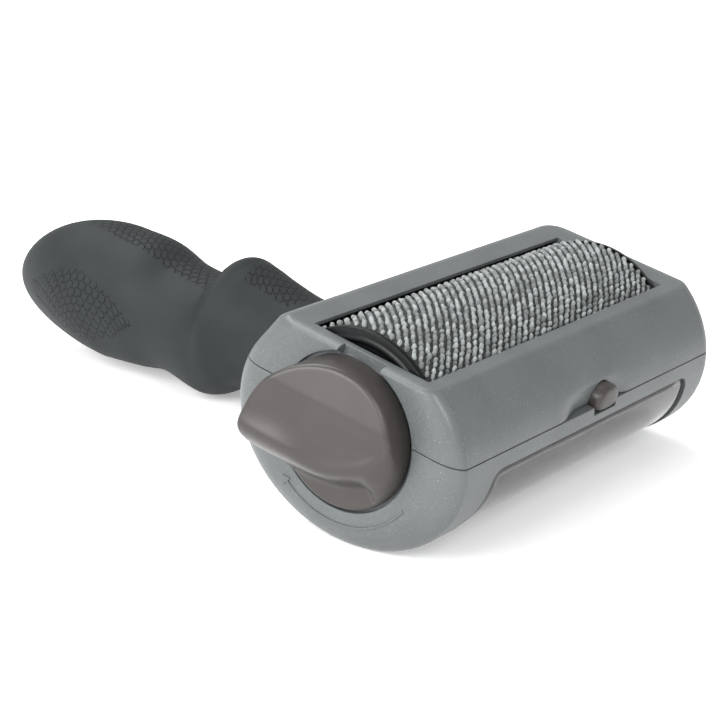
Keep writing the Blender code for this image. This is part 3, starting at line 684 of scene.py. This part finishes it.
def belly_point(section, angle, grow=0.0):
    """Point of the section's ellipse whose outward normal is at angle, moved outward by grow."""
    ny, nz = math.cos(angle), math.sin(angle)
    reach = math.hypot(section.half_width * ny, section.half_height * nz)
    y = section.centre_y + section.half_width**2 * ny / reach + grow * ny
    z = section.centre_z + section.half_height**2 * nz / reach + grow * nz
    return y, z


def corner_angles(section):
    """Normal angles at which the ellipse runs into the back corner and out of the front one."""

    def back(angle):
        y, z = belly_point(section, angle)
        ny, nz = math.cos(angle), math.sin(angle)
        corner = section.back_corner_y * ny + (section.top - section.back_round) * nz + section.back_round
        return y * ny + z * nz - corner

    def front(angle):
        z = belly_point(section, angle)[1]
        return z - section.front_round * math.sin(angle) - (section.top - section.front_round)

    return solve(back, 0.0, math.pi / 4), solve(front, math.pi / 2, math.pi)


def head_outline(section, grow=0.0):
    """Closed (y, z) outline of the head, moved outward by grow."""
    back, front = corner_angles(section)
    around = math.tau + back - front
    angles = [front + around * i / BELLY_STEPS for i in range(BELLY_STEPS + 1)]
    points = [belly_point(section, angle, grow) for angle in angles]
    front_y = belly_point(section, front, -section.front_round)[0]
    top = section.top + grow
    for i in range(1, CORNER_STEPS + 1):
        angle = back + (math.pi / 2 - back) * i / CORNER_STEPS
        y = section.back_corner_y + (section.back_round + grow) * math.cos(angle)
        points.append((y, section.top - section.back_round + (section.back_round + grow) * math.sin(angle)))
    points += [(section.back_corner_y - 0.3, top), (front_y + 0.3, top)]
    for i in range(CORNER_STEPS):
        angle = math.pi / 2 + (front - math.pi / 2) * i / CORNER_STEPS
        y = front_y + (section.front_round + grow) * math.cos(angle)
        points.append((y, section.top - section.front_round + (section.front_round + grow) * math.sin(angle)))
    return points


def head_block(name, grow=0.0, dish=False):
    """Outer form of the whole head, with rounded ends and, for the cover, the dish by the latch."""
    full = np.array(head_outline(FULL, grow))
    end = np.array(head_outline(END, grow))
    steps = [math.pi / 2 * i / ROUND_STEPS for i in range(ROUND_STEPS + 1)]
    near = [(-grow + NEAR_ROUND * (1 - math.cos(a)), math.sin(a)) for a in steps]
    far = [(HEAD_LENGTH + grow - FAR_ROUND * (1 - math.cos(a)), math.sin(a)) for a in reversed(steps)]
    first, last = near[-1][0], far[0][0]
    count = round((last - first) / STATION)
    middle = [(first + (last - first) * i / count, 1.0) for i in range(1, count)]
    rings = []
    for x, share in near + middle + far:
        section = end + (full - end) * share
        if dish:
            section = section.copy()
            in_x = smooth_step(x, DISH_X[0], DISH_X[1]) * (1 - smooth_step(x, DISH_X[2], DISH_X[3]))
            in_z = 1 - smooth_step(section[:, 1], SEAM_Z - 0.5, DISH_TOP_Z)
            section[:, 0] += DISH_DEPTH * in_x * in_z * (section[:, 0] < 0)
        rings.append([(x, y, z) for y, z in section])
    return loft(name, rings)


def cavity(name):
    return prism(name, head_outline(FULL, -WALL), (NEAR_WALL_X, FAR_WALL_X))


def knuckles(name, spans, side):
    """Hinge barrels with webs that run to the wall on one side of the seam."""
    outline = []
    for i in range(21):
        angle = math.pi * i / 20 - math.pi / 2
        y = HINGE_Y + KNUCKLE_RADIUS * math.cos(angle)
        outline.append((y, HINGE_Z + KNUCKLE_RADIUS * math.sin(angle)))
    web = [(-0.5, 4.6 * side), (-3.0, 4.6 * side), (-2.4, -0.2 * side)]
    for y, z in web if side > 0 else reversed(web):
        outline.append((HINGE_Y + y, HINGE_Z + z))
    return [prism(f"{name}_{i}", outline, span) for i, span in enumerate(spans)]


def hinge_room(name, spans):
    """Room cut in one shell for the other shell's knuckles."""
    rooms = []
    for i, (x0, x1) in enumerate(spans):
        x_range = (x0 - KNUCKLE_GAP, x1 + KNUCKLE_GAP)
        rooms.append(rod(f"{name}_{i}", KNUCKLE_ROOM_RADIUS, x_range, (HINGE_Y, HINGE_Z), 48))
    return rooms


def hinge_bores(name):
    centre = (HINGE_Y, HINGE_Z)
    return [rod(f"{name}_{i}", PIN_BORE_RADIUS, span, centre, 32) for i, span in enumerate(PIN_SPANS)]


def latch_arch(name, y_range, segments=28):
    """Rounded-top opening of the latch, along Y."""
    half = LATCH_HALF_WIDTH + LATCH_ARCH_GAP
    base = LATCH_BASE_Z - LATCH_ARCH_GAP
    height = LATCH_TOP_Z + LATCH_ARCH_GAP - base
    shoulder = LATCH_ARCH_SHOULDER
    rings = []
    for y in y_range:
        ring = [(LATCH_X - half, y, base), (LATCH_X + half, y, base)]
        for i in range(1, segments):
            angle = math.pi * i / segments
            z = base + shoulder + (height - shoulder) * math.sin(angle)
            ring.append((LATCH_X + half * math.cos(angle), y, z))
        rings.append(ring)
    return loft(name, rings)


def bearing_tab(name, x_range):
    """Tab that hangs from the cover and holds a bushing."""
    outline = []
    for i in range(33):
        angle = math.pi + math.pi * i / 32
        z = TAB_BOTTOM_Z + TAB_HALF_WIDTH * (1 + math.sin(angle)) * 0.5
        outline.append((TAB_HALF_WIDTH * math.cos(angle), z))
    outline += [(TAB_HALF_WIDTH, SEAM_Z + 4.0), (-TAB_HALF_WIDTH, SEAM_Z + 4.0)]
    return prism(name, outline, x_range)


def make_cover(material):
    cover = head_block("cover_shell", dish=True)
    wide = OPENING_HALF_WIDTH
    cuts = [
        latch_arch("arch", (-36.0, -20.0)),
        block("notch", (-5.0, NOTCH_X), (-NOTCH_HALF_WIDTH, NOTCH_HALF_WIDTH), (NOTCH_FLOOR_Z, 25.0)),
        rod("recess", RECESS_RADIUS, (-5.0, RECESS_DEPTH), sides=128),
        block("mouth", OPENING_X, (-wide, wide), (10.0, 25.0)),
        cavity("inside"),
        rod("roller_space", ROLLER_SPACE_RADIUS, OPENING_X, sides=160),
        block("below", (-20, 140), (-60, 60), (-60, SEAM_Z + SEAM_GAP / 2)),
    ]
    combine(cover, "DIFFERENCE", cuts + hinge_room("room", BIN_KNUCKLES))
    bridge_x = (FAR_TAB_X[0], FAR_WALL_X + 1.0)
    bridge = block("bridge", bridge_x, (-TAB_HALF_WIDTH, TAB_HALF_WIDTH), (SEAM_Z + 2.5, 17.0))
    tabs = [bearing_tab("near_tab", NEAR_TAB_X), bearing_tab("far_tab", FAR_TAB_X), bridge]
    combine(cover, "UNION", tabs + knuckles("knuckle", COVER_KNUCKLES, 1))
    holes = rod("holes", BEARING_HOLE, (-3.0, FAR_TAB_X[1] + 1.0), sides=48)
    combine(cover, "DIFFERENCE", [holes] + hinge_bores("bore"))
    place(cover, HEAD, "cover", material, "housing", "roller_cover")
    weigh_normals(cover)


def window_rows(inset, steps=9):
    """Rows down the window: x limits and the belly's normal angle, for an outline set in by inset."""
    start = solve(lambda a: belly_point(FULL, a)[1] - WINDOW_TOP_Z, math.pi * 0.75, math.pi * 1.5)
    angles = np.linspace(start, math.pi * 1.5, 400)
    line = np.array([belly_point(FULL, a) for a in angles])
    arcs = np.concatenate([[0.0], np.cumsum(np.hypot(*np.diff(line, axis=0).T))])
    top_round, low_round = (corner - inset for corner in WINDOW_CORNERS)
    length = WINDOW_ARC - 2 * inset
    turns = [math.pi / 2 * i / steps for i in range(steps + 1)]
    rows = [top_round * (1 - math.cos(a)) for a in turns]
    straight = length - top_round - low_round
    rows += [top_round + straight * i / 24 for i in range(1, 25)]
    rows += [length - low_round * (1 - math.sin(a)) for a in turns[1:]]
    found = []
    for arc in rows:
        flare = WINDOW_FLARE * min(1.0, (arc + inset) / (WINDOW_ARC * 0.7))
        tuck = 0.0
        if arc < top_round:
            tuck = top_round - math.sqrt(max(0.0, top_round**2 - (top_round - arc) ** 2))
        if arc > length - low_round:
            tuck = low_round - math.sqrt(max(0.0, low_round**2 - (low_round - length + arc) ** 2))
        x0 = WINDOW_TOP_X[0] - flare + inset + tuck
        x1 = WINDOW_TOP_X[1] + flare - inset - tuck
        found.append((x0, x1, float(np.interp(arc + inset, arcs, angles))))
    return found


def window_patch(name, inset, outer, inner, x_limits=(-999.0, 999.0)):
    """Curved slab over the window, between two depths under the head's skin."""
    rings = []
    for x0, x1, angle in window_rows(inset):
        x0, x1 = max(x0, x_limits[0]), min(x1, x_limits[1])
        (y_out, z_out), (y_in, z_in) = belly_point(FULL, angle, outer), belly_point(FULL, angle, inner)
        rings.append([(x0, y_out, z_out), (x1, y_out, z_out), (x1, y_in, z_in), (x0, y_in, z_in)])
    return loft(name, rings)


def make_bin(material):
    shell = head_block("bin_shell")
    cuts = [
        block("above", (-20, 140), (-60, 60), (SEAM_Z - SEAM_GAP / 2, 60)),
        cavity("inside"),
        rod("recess", RECESS_RADIUS, (-5.0, RECESS_DEPTH), sides=128),
        block("slot", (-5.0, NEAR_WALL_X + 0.5), SLOT_Y, (SLOT_BOTTOM_Z, 20.0)),
        window_patch("rebate", 0.0, 3.0, -1.8),
        window_patch("near_hole", LEDGE, 3.0, -6.0, (-99.0, WINDOW_BAR_X[0])),
        window_patch("far_hole", LEDGE, 3.0, -6.0, (WINDOW_BAR_X[1], 999.0)),
        latch_arch("arch", (-36.0, -24.0)),
    ]
    combine(shell, "DIFFERENCE", cuts + hinge_room("room", COVER_KNUCKLES))
    combine(shell, "UNION", knuckles("knuckle", BIN_KNUCKLES, -1))
    combine(shell, "DIFFERENCE", hinge_bores("bore"))
    place(shell, HEAD, "bin", material, "housing", "bin_housing")
    weigh_normals(shell)


def make_window(material):
    """Pane with a soft bulge and a turned-down edge."""
    rows = window_rows(0.3)
    near_edge, far_edge = (0.0, 0.008, 0.02, 0.035), (0.965, 0.98, 0.992, 1.0)
    across = np.concatenate([near_edge, np.linspace(0.06, 0.94, 30), far_edge])
    points, faces = [], []
    columns = len(across)
    last = len(rows) - 1
    middle = np.array([belly_point(FULL, row[2]) for row in rows])
    down = np.concatenate([[0.0], np.cumsum(np.hypot(*np.diff(middle, axis=0).T))])
    for layer, depth in enumerate(PANE_DEPTHS):
        for r, (x0, x1, angle) in enumerate(rows):
            for share in across:
                x = x0 + (x1 - x0) * share
                edge = min(x - x0, x1 - x, down[r], down[last] - down[r])
                drop = 0.0
                if layer == 0:
                    drop = PANE_EDGE_DROP * (1 - float(smooth_step(edge, 0.0, PANE_EDGE_WIDTH)))
                y, z = belly_point(FULL, angle, depth - drop)
                points.append((x, y, z))
    size = len(rows) * columns
    for r in range(last):
        for c in range(columns - 1):
            a = r * columns + c
            faces.append((a, a + 1, a + columns + 1, a + columns))
            faces.append((size + a, size + a + columns, size + a + columns + 1, size + a + 1))
    rim = list(range(columns))
    rim += [r * columns + columns - 1 for r in range(1, len(rows))]
    rim += [last * columns + c for c in range(columns - 2, -1, -1)]
    rim += [r * columns for r in range(last - 1, 0, -1)]
    for a, b in zip(rim, rim[1:] + rim[:1]):
        faces.append((b, a, size + a, size + b))
    pane = mesh_object("window_pane", points, faces)
    outward(pane)
    place(pane, HEAD, "bin", material, "clear", "window_lens", sharp=50)


def make_button(material):
    """Latch button with a domed face."""
    rings = []
    profile = [(-26.2, 0.0)] + [(LATCH_FRONT_Y + behind, grow) for behind, grow in BUTTON_EDGE]
    centre_z = (LATCH_BASE_Z + LATCH_TOP_Z) / 2
    for y, grow in profile:
        half = LATCH_HALF_WIDTH + grow
        height = (LATCH_TOP_Z - LATCH_BASE_Z) / 2 + grow
        ring = []
        for i in range(64):
            angle = math.tau * i / 64
            c, s = math.cos(angle), math.sin(angle)
            x = half * math.copysign(abs(c) ** 0.9, c)
            z = height * (s if s > 0 else math.copysign(abs(s) ** 0.45, s))
            ring.append((LATCH_X + x, y, centre_z + z))
        rings.append(ring)
    button = loft("latch_cap", rings)
    stem = block("stem", (LATCH_X - 3.2, LATCH_X + 3.2), (-27.0, -25.2), (LATCH_BASE_Z + 0.2, 5.8))
    flange = block("flange", (LATCH_X - 6.9, LATCH_X + 6.9), (-25.6, -24.7), (LATCH_BASE_Z + 0.1, 6.0))
    combine(button, "UNION", [stem, flange])
    place(button, HEAD, "latch", material, "knob", "latch_button", sharp=50)


def make_arrow(material):
    """Generic curved arrow, slightly raised, below the knob."""
    start, end = (math.radians(degrees) for degrees in ARROW_DEGREES)
    angles = [start + (end - start) * i / ARROW_STEPS for i in range(ARROW_STEPS + 1)]
    outer = [(ARROW_RADIUS + ARROW_WIDTH / 2, a) for a in angles]
    inner = [(ARROW_RADIUS - ARROW_WIDTH / 2, a) for a in reversed(angles)]
    head = [
        (ARROW_RADIUS + ARROW_HEAD_HALF_WIDTH, end),
        (ARROW_RADIUS, end + ARROW_HEAD_TURN),
        (ARROW_RADIUS - ARROW_HEAD_HALF_WIDTH, end),
    ]
    outline = [(r * math.cos(a), r * math.sin(a)) for r, a in outer + head + inner]
    arrow = loft("turn_arrow", [[(x, y, z) for y, z in outline] for x in ARROW_X])
    place(arrow, HEAD, "bin", material, "housing")


# ---------------------------------------------------------------- roller


def make_backing(material, x0, x1):
    """Plain sleeve that the tufts stand on."""
    profile = [(x0, PILE_BORE), (x0, PILE_BASE - PILE_BEVEL), (x0 + PILE_BEVEL, PILE_BASE)]
    profile += [(x1 - PILE_BEVEL, PILE_BASE), (x1, PILE_BASE - PILE_BEVEL), (x1, PILE_BORE)]
    sleeve = turned("sleeve_backing", profile, 128)
    place(sleeve, HEAD, "roller", material, "fabric", "lint_sleeve")


def tuft_ball(lats, longs):
    """Points and faces of one tuft of unit size, long way along X."""
    ball = [(-1.0, 0.0, 0.0)]
    for i in range(1, lats + 1):
        a = math.pi * i / (lats + 1)
        girth = math.sin(a) ** 0.8
        ball += [(-math.cos(a), girth * y, girth * z) for y, z in circle(1.0, longs)]
    ball.append((1.0, 0.0, 0.0))
    ball = np.array(ball)
    faces = [(0, 1 + (k + 1) % longs, 1 + k) for k in range(longs)]
    for i in range(lats - 1):
        for k in range(longs):
            a, b = 1 + i * longs + k, 1 + i * longs + (k + 1) % longs
            faces.append((a, b, b + longs, a + longs))
    tip = len(ball) - 1
    faces += [(tip, tip - longs + k, tip - longs + (k + 1) % longs) for k in range(longs)]
    return ball, faces


def tuft_places(x0, x1):
    """Staggered places of the tufts: along the roller and around it."""
    columns = int((x1 - x0 - 1.0) / TUFT_PITCH_X)
    start = x0 + 0.75
    along, around = [], []
    for row in range(TUFT_ROWS):
        shift = TUFT_PITCH_X / 2 if row % 2 else 0.0
        for column in range(columns + 1):
            x = start + column * TUFT_PITCH_X + shift
            if x < x1 - 0.6:
                along.append(x)
                around.append(row * (math.tau / TUFT_ROWS))
    return np.array(along), np.array(around)


def make_pile(material, x0, x1):
    """Stiff tufts in a staggered pattern, all lying one way."""
    rng = np.random.default_rng(11)
    ball, faces = tuft_ball(5, 7)
    along, around = tuft_places(x0, x1)
    count = len(along)
    along = along + rng.normal(0, PLACE_SPREAD, count)
    around = around + rng.normal(0, PLACE_SPREAD / TUFT_RADIUS, count)
    radial = np.stack([np.zeros(count), np.sin(around), np.cos(around)], 1)
    tangent = np.stack([np.zeros(count), np.cos(around), -np.sin(around)], 1)
    axis = np.tile([1.0, 0.0, 0.0], (count, 1))
    heading = TUFT_HEADING + rng.normal(0, HEADING_SPREAD, count)[:, None]
    lean = (TUFT_LEAN + rng.normal(0, LEAN_SPREAD, count))[:, None]
    flat = axis * np.cos(heading) + tangent * np.sin(heading)
    long_way = flat * np.cos(lean) + radial * np.sin(lean)
    side_way = np.cross(radial, flat)
    up_way = np.cross(long_way, side_way)
    radius = (TUFT_RADIUS + rng.normal(0, RADIUS_SPREAD, count))[:, None]
    centre = axis * along[:, None] + radial * radius
    size = np.array(TUFT_SIZE) * (1 + rng.normal(0, SIZE_SPREAD, (count, 1)))
    points = (
        centre[:, None, :]
        + long_way[:, None, :] * (ball[None, :, 0:1] * size[:, None, 0:1])
        + side_way[:, None, :] * (ball[None, :, 1:2] * size[:, None, 1:2])
        + up_way[:, None, :] * (ball[None, :, 2:3] * size[:, None, 2:3])
    )
    points = points + rng.normal(0, SURFACE_SPREAD, points.shape)
    total = []
    for t in range(count):
        base = t * len(ball)
        total += [tuple(base + v for v in face) for face in faces]
    pile = mesh_object("lint_pile", points.reshape(-1, 3), total)
    shade = np.repeat(rng.random(count), len(ball)).astype(np.float32)
    pile.data.attributes.new("tuft_shade", "FLOAT", "POINT").data.foreach_set("value", shade)
    place(pile, HEAD, "roller", material, "fabric", "lint_sleeve", sharp=180)


def make_discs(material):
    spigot = CORE_RADIUS - CORE_WALL - 0.3
    for name, face, inward in (("near", ROLLER_X[0], 1), ("far", ROLLER_X[1], -1)):
        steps = (
            (0.0, 3.6), (0.0, 7.3), (0.15, 7.5), (0.7, 8.3), (0.7, 18.7), (0.35, 19.2), (0.0, 19.5),
            (-0.12, 19.9), (-0.05, 20.3), (0.1, 20.5), (0.25, 20.7), (0.25, DISC_RADIUS - 0.35),
            (0.35, DISC_RADIUS - 0.1), (0.6, DISC_RADIUS), (DISC_THICK, DISC_RADIUS), (DISC_THICK, spigot),
            (DISC_THICK + 3.0, spigot), (DISC_THICK + 3.0, spigot - 1.8), (DISC_THICK + 0.3, spigot - 2.2),
            (DISC_THICK + 0.3, 6.5), (DISC_THICK + 3.0, 5.8), (DISC_THICK + 3.0, 3.6),
        )
        disc = turned(f"end_disc_{name}", [(face + inward * x, r) for x, r in steps], 144)
        place(disc, HEAD, "roller", material, "black", f"roller_end_disc_{name}")


def along_knob(table, y):
    """Values of a knob curve at each y."""
    stops = np.linspace(-KNOB_TABLE_Y, KNOB_TABLE_Y, 181)
    lines = np.array([smooth(table, stop) for stop in stops])
    return [np.interp(y, stops, line) for line in lines.T]


def knob_height(y, z):
    """Height of the knob's face at points, before its edges are softened."""
    crest, height = along_knob(KNOB_CREST, y)
    foot = along_knob(KNOB_FOOT, y)[0]
    crease = np.maximum(CREASE_PLACE[0] + CREASE_PLACE[1] * y, crest + CREST_TO_CREASE)
    crease_height = CREASE_HEIGHT[0] + CREASE_HEIGHT[1] * y
    share = np.clip((z - crest) / (crease - crest), 0.0, 1.0)
    face = height + (crease_height - height) * share - FACE_HOLLOW * share * (1 - share)
    face -= FACE_FALL * np.maximum(0.0, z - crease)
    down = np.clip((crest - z) / (crest - foot), 0.0, 1.0)
    wall = KNOB_FLOOR + (height - KNOB_FLOOR) * np.abs(np.cos(math.pi / 2 * down)) ** WALL_ROUNDNESS
    return np.where(z > crest, face, wall)


def soft_knob_height(y, z):
    """Knob's face with its crest, crease and foot rounded by averaging over a small disc."""
    total, weight = 2 * knob_height(y, z), 2.0
    for radius in (0.45, 0.9, 1.3):
        for i in range(12):
            angle = math.tau * i / 12
            total = total + knob_height(y + radius * math.cos(angle), z + radius * math.sin(angle))
            weight += 1.0
    return total / weight


def make_knob(material):
    """Round knob: a high S-shaped crest, a sloping face above it and a finger hollow below."""
    sides = 240
    turn = np.arange(sides) * math.tau / sides
    off = turned_from(np.degrees(turn), RIM_WIDEST_AT)
    widest = RIM_ROUNDING + RIM_EXTRA * np.maximum(0.0, 1 - (off / RIM_WIDEST_REACH) ** 2)
    edges = [RIM_ROUNDING * (1 - math.cos(math.pi / 2 * i / 8)) for i in range(9)]
    edges += list(np.linspace(1.2, KNOB_RADIUS - 0.1, 62))
    rings = []
    for edge in edges:
        y, z = (KNOB_RADIUS - edge) * np.cos(turn), (KNOB_RADIUS - edge) * np.sin(turn)
        height = soft_knob_height(y, z)
        rounding = np.minimum(widest, height)
        inside = np.maximum(0.0, rounding - edge)
        height = height - (rounding - np.sqrt(rounding**2 - inside**2))
        rings.append(np.stack([-height, y, z], 1))
    tallest = max(-ring[:, 0].min() for ring in rings)
    rings = [ring * np.array([KNOB_HEIGHT / tallest, 1.0, 1.0]) for ring in rings]
    back = []
    for share, ahead in ((0.98, 0.0), (1.0, 0.3)):
        back.append(rings[0] * np.array([0.0, share, share]) + np.array([KNOB_BACK_X - ahead, 0, 0]))
    knob = loft("knob", back + rings)
    place(knob, HEAD, "roller", material, "knob", "twist_knob", sharp=180)


# ---------------------------------------------------------------- grip


def grip_rows():
    """Rows down the grip: distance, middle height, half height and half width."""
    start, end = GRIP_STATIONS[0][0], GRIP_STATIONS[-1][0]
    rows = []
    for i in range(GRIP_ROWS):
        y = start + (end - start) * i / (GRIP_ROWS - 1)
        top, bottom, width = smooth(GRIP_STATIONS, y)
        rows.append((y, (top + bottom) / 2, (top - bottom) / 2, width))
    top, bottom, width = GRIP_STATIONS[-1][1:]
    last = math.radians(88.5)
    for i in range(1, GRIP_TIP_ROWS + 1):
        angle = last * i / GRIP_TIP_ROWS
        along = (math.sin(angle) / math.sin(last)) ** (2 / GRIP_TIP_FULLNESS)
        share = math.cos(angle) ** (2 / GRIP_TIP_FULLNESS)
        middle = (top + bottom) / 2 + GRIP_TIP_LIFT * along * (1 - along) - GRIP_TIP_DROP * along**6
        rows.append((end + (GRIP_TIP_Y - end) * along, middle, (top - bottom) / 2 * share, width * share))
    return rows


def make_grip(material):
    sides = 144
    rings, marks = [], []
    for y, middle, height, half in grip_rows():
        ring = []
        for k in range(sides):
            angle = math.tau * k / sides
            ring.append((GRIP_CENTRE_X + half * math.cos(angle), y, middle + height * math.sin(angle)))
            marks.append((y, angle, half, height))
        rings.append(ring)
    grip = loft("grip", rings)
    wrap_scales(grip, np.array(marks))
    room = head_block("room", 0.3)
    room.data.transform(Matrix.Rotation(TILT, 4, "X"))
    combine(grip, "DIFFERENCE", [room])
    place(grip, LEVEL, "bin", material, "rubber", "grip_overmold", sharp=50)


def wrap_scales(grip, marks):
    """Unwrapped coordinates for the engraved scales, in cells, and the patches that carry them."""
    y, angle, half, height = marks.T
    degrees = np.degrees(angle)
    across = (angle + math.pi / 2) % math.tau
    u = y / SCALE_CELL
    v = (half + height) / 2 * across / SCALE_CELL
    mask = np.zeros(len(y))
    for centre in PATCH_CENTRES:
        along_share = np.abs(y - PATCH_Y) / PATCH_REACH[0]
        around_share = turned_from(degrees, centre) / PATCH_REACH[1]
        reach = along_share**PATCH_SHAPE + around_share**PATCH_SHAPE
        mask = np.maximum(mask, 1 - smooth_step(reach, 0.93, 1.0))
    top = turned_from(degrees, 90.0)
    strip = np.interp(y, STRIP_Y, STRIP_HALF_TURN)
    hump = np.interp(y, HUMP_Y, HUMP_HALF_TURN)
    mask = np.maximum(mask, 1 - smooth_step(top - np.maximum(strip, hump), -1.0, 1.0))
    mask = mask.astype(np.float32)
    grip.data.attributes.new("scale_mask", "FLOAT", "POINT").data.foreach_set("value", mask)
    layer = grip.data.uv_layers.new(name="wrap")
    corners = np.zeros(len(grip.data.loops), np.int32)
    grip.data.loops.foreach_get("vertex_index", corners)
    wrapped = np.stack([u[corners], v[corners]], 1).astype(np.float32)
    layer.data.foreach_set("uv", wrapped.ravel())


# ---------------------------------------------------------------- scene


def dress_frame(names, material):
    for name in names:
        node = frame["nodes"][name]
        node.data.materials.clear()
        node.data.materials.append(material)
        node.data.shade_smooth()
        node.data.set_sharp_from_angle(angle=math.radians(35))


def make_camera():
    looks, up = Vector(CAMERA_LOOKS).normalized(), Vector(CAMERA_UP)
    right = looks.cross(up).normalized()
    turn = Matrix((right, right.cross(looks), -looks)).transposed()
    data = bpy.data.cameras.new("camera")
    data.lens = CAMERA_LENS
    data.sensor_width = 36.0
    data.clip_start = 0.01
    camera = bpy.data.objects.new("camera", data)
    camera.matrix_world = Matrix.Translation(AXIS_POINT + Vector(CAMERA_FROM_AXIS) * 0.001) @ turn.to_4x4()
    bpy.context.scene.collection.objects.link(camera)
    bpy.context.scene.camera = camera


def soft_box(name, place_at, size, power):
    data = bpy.data.lights.new(name, "AREA")
    data.shape = "RECTANGLE"
    data.size, data.size_y = size
    data.energy = power
    light = bpy.data.objects.new(name, data)
    light.location = place_at
    light.rotation_euler = (-Vector(place_at)).to_track_quat("-Z", "Y").to_euler()
    bpy.context.scene.collection.objects.link(light)


def make_studio():
    half = FLOOR_HALF_SIZE
    corners = [(-half, -half, 0), (half, -half, 0), (half, half, 0), (-half, half, 0)]
    floor = mesh_object("floor", corners, [(0, 1, 2, 3)])
    paper, _, shader = new_material("paper", (0.92, 0.92, 0.92), 0.9)
    shader.inputs["Specular IOR Level"].default_value = 0.1
    shader.inputs["Emission Color"].default_value = (1.0, 1.0, 1.0, 1.0)
    shader.inputs["Emission Strength"].default_value = FLOOR_GLOW
    floor.data.materials.append(paper)
    world = bpy.data.worlds.new("studio")
    world.use_nodes = True
    sky = world.node_tree
    background = sky.nodes["Background"]
    background.inputs[0].default_value = (1.0, 1.0, 1.0, 1.0)
    spot = sky.nodes.new("ShaderNodeTexCoord")
    split = sky.nodes.new("ShaderNodeSeparateXYZ")
    sky.links.new(spot.outputs["Generated"], split.inputs[0])
    glow = remap(sky, split.outputs[2], 0.0, 0.5, SKY_AT_HORIZON, SKY_ABOVE)
    sky.links.new(glow, background.inputs[1])
    bpy.context.scene.world = world
    bpy.context.scene.view_settings.view_transform = "Standard"
    for light in LIGHTS:
        soft_box(*light)


def main():
    make_camera()
    make_studio()
    housing = housing_material()
    knob = knob_material()
    black = black_material()
    make_cover(housing)
    make_bin(housing)
    make_window(window_material())
    make_button(knob)
    make_arrow(housing)
    pile_x = (ROLLER_X[0] + DISC_THICK + PILE_END_GAP, ROLLER_X[1] - DISC_THICK - PILE_END_GAP)
    pile, backing = pile_material(), backing_material()
    make_backing(backing, *pile_x)
    make_pile(pile, *pile_x)
    make_discs(black)
    make_knob(knob)
    make_grip(rubber_material())
    core = core_material()
    dress_frame(("handle_core", "cleaning_comb", "roller_core"), core)
    steel = steel_material()
    dress_frame(("drive_shaft", "retaining_ring", "hinge_pin_near", "hinge_pin_far"), steel)
    dress_frame(("handle_screw_near", "handle_screw_far", "comb_screw_near", "comb_screw_far"), steel)
    dress_frame(("bushing_near", "bushing_far"), bushing_material())


main()
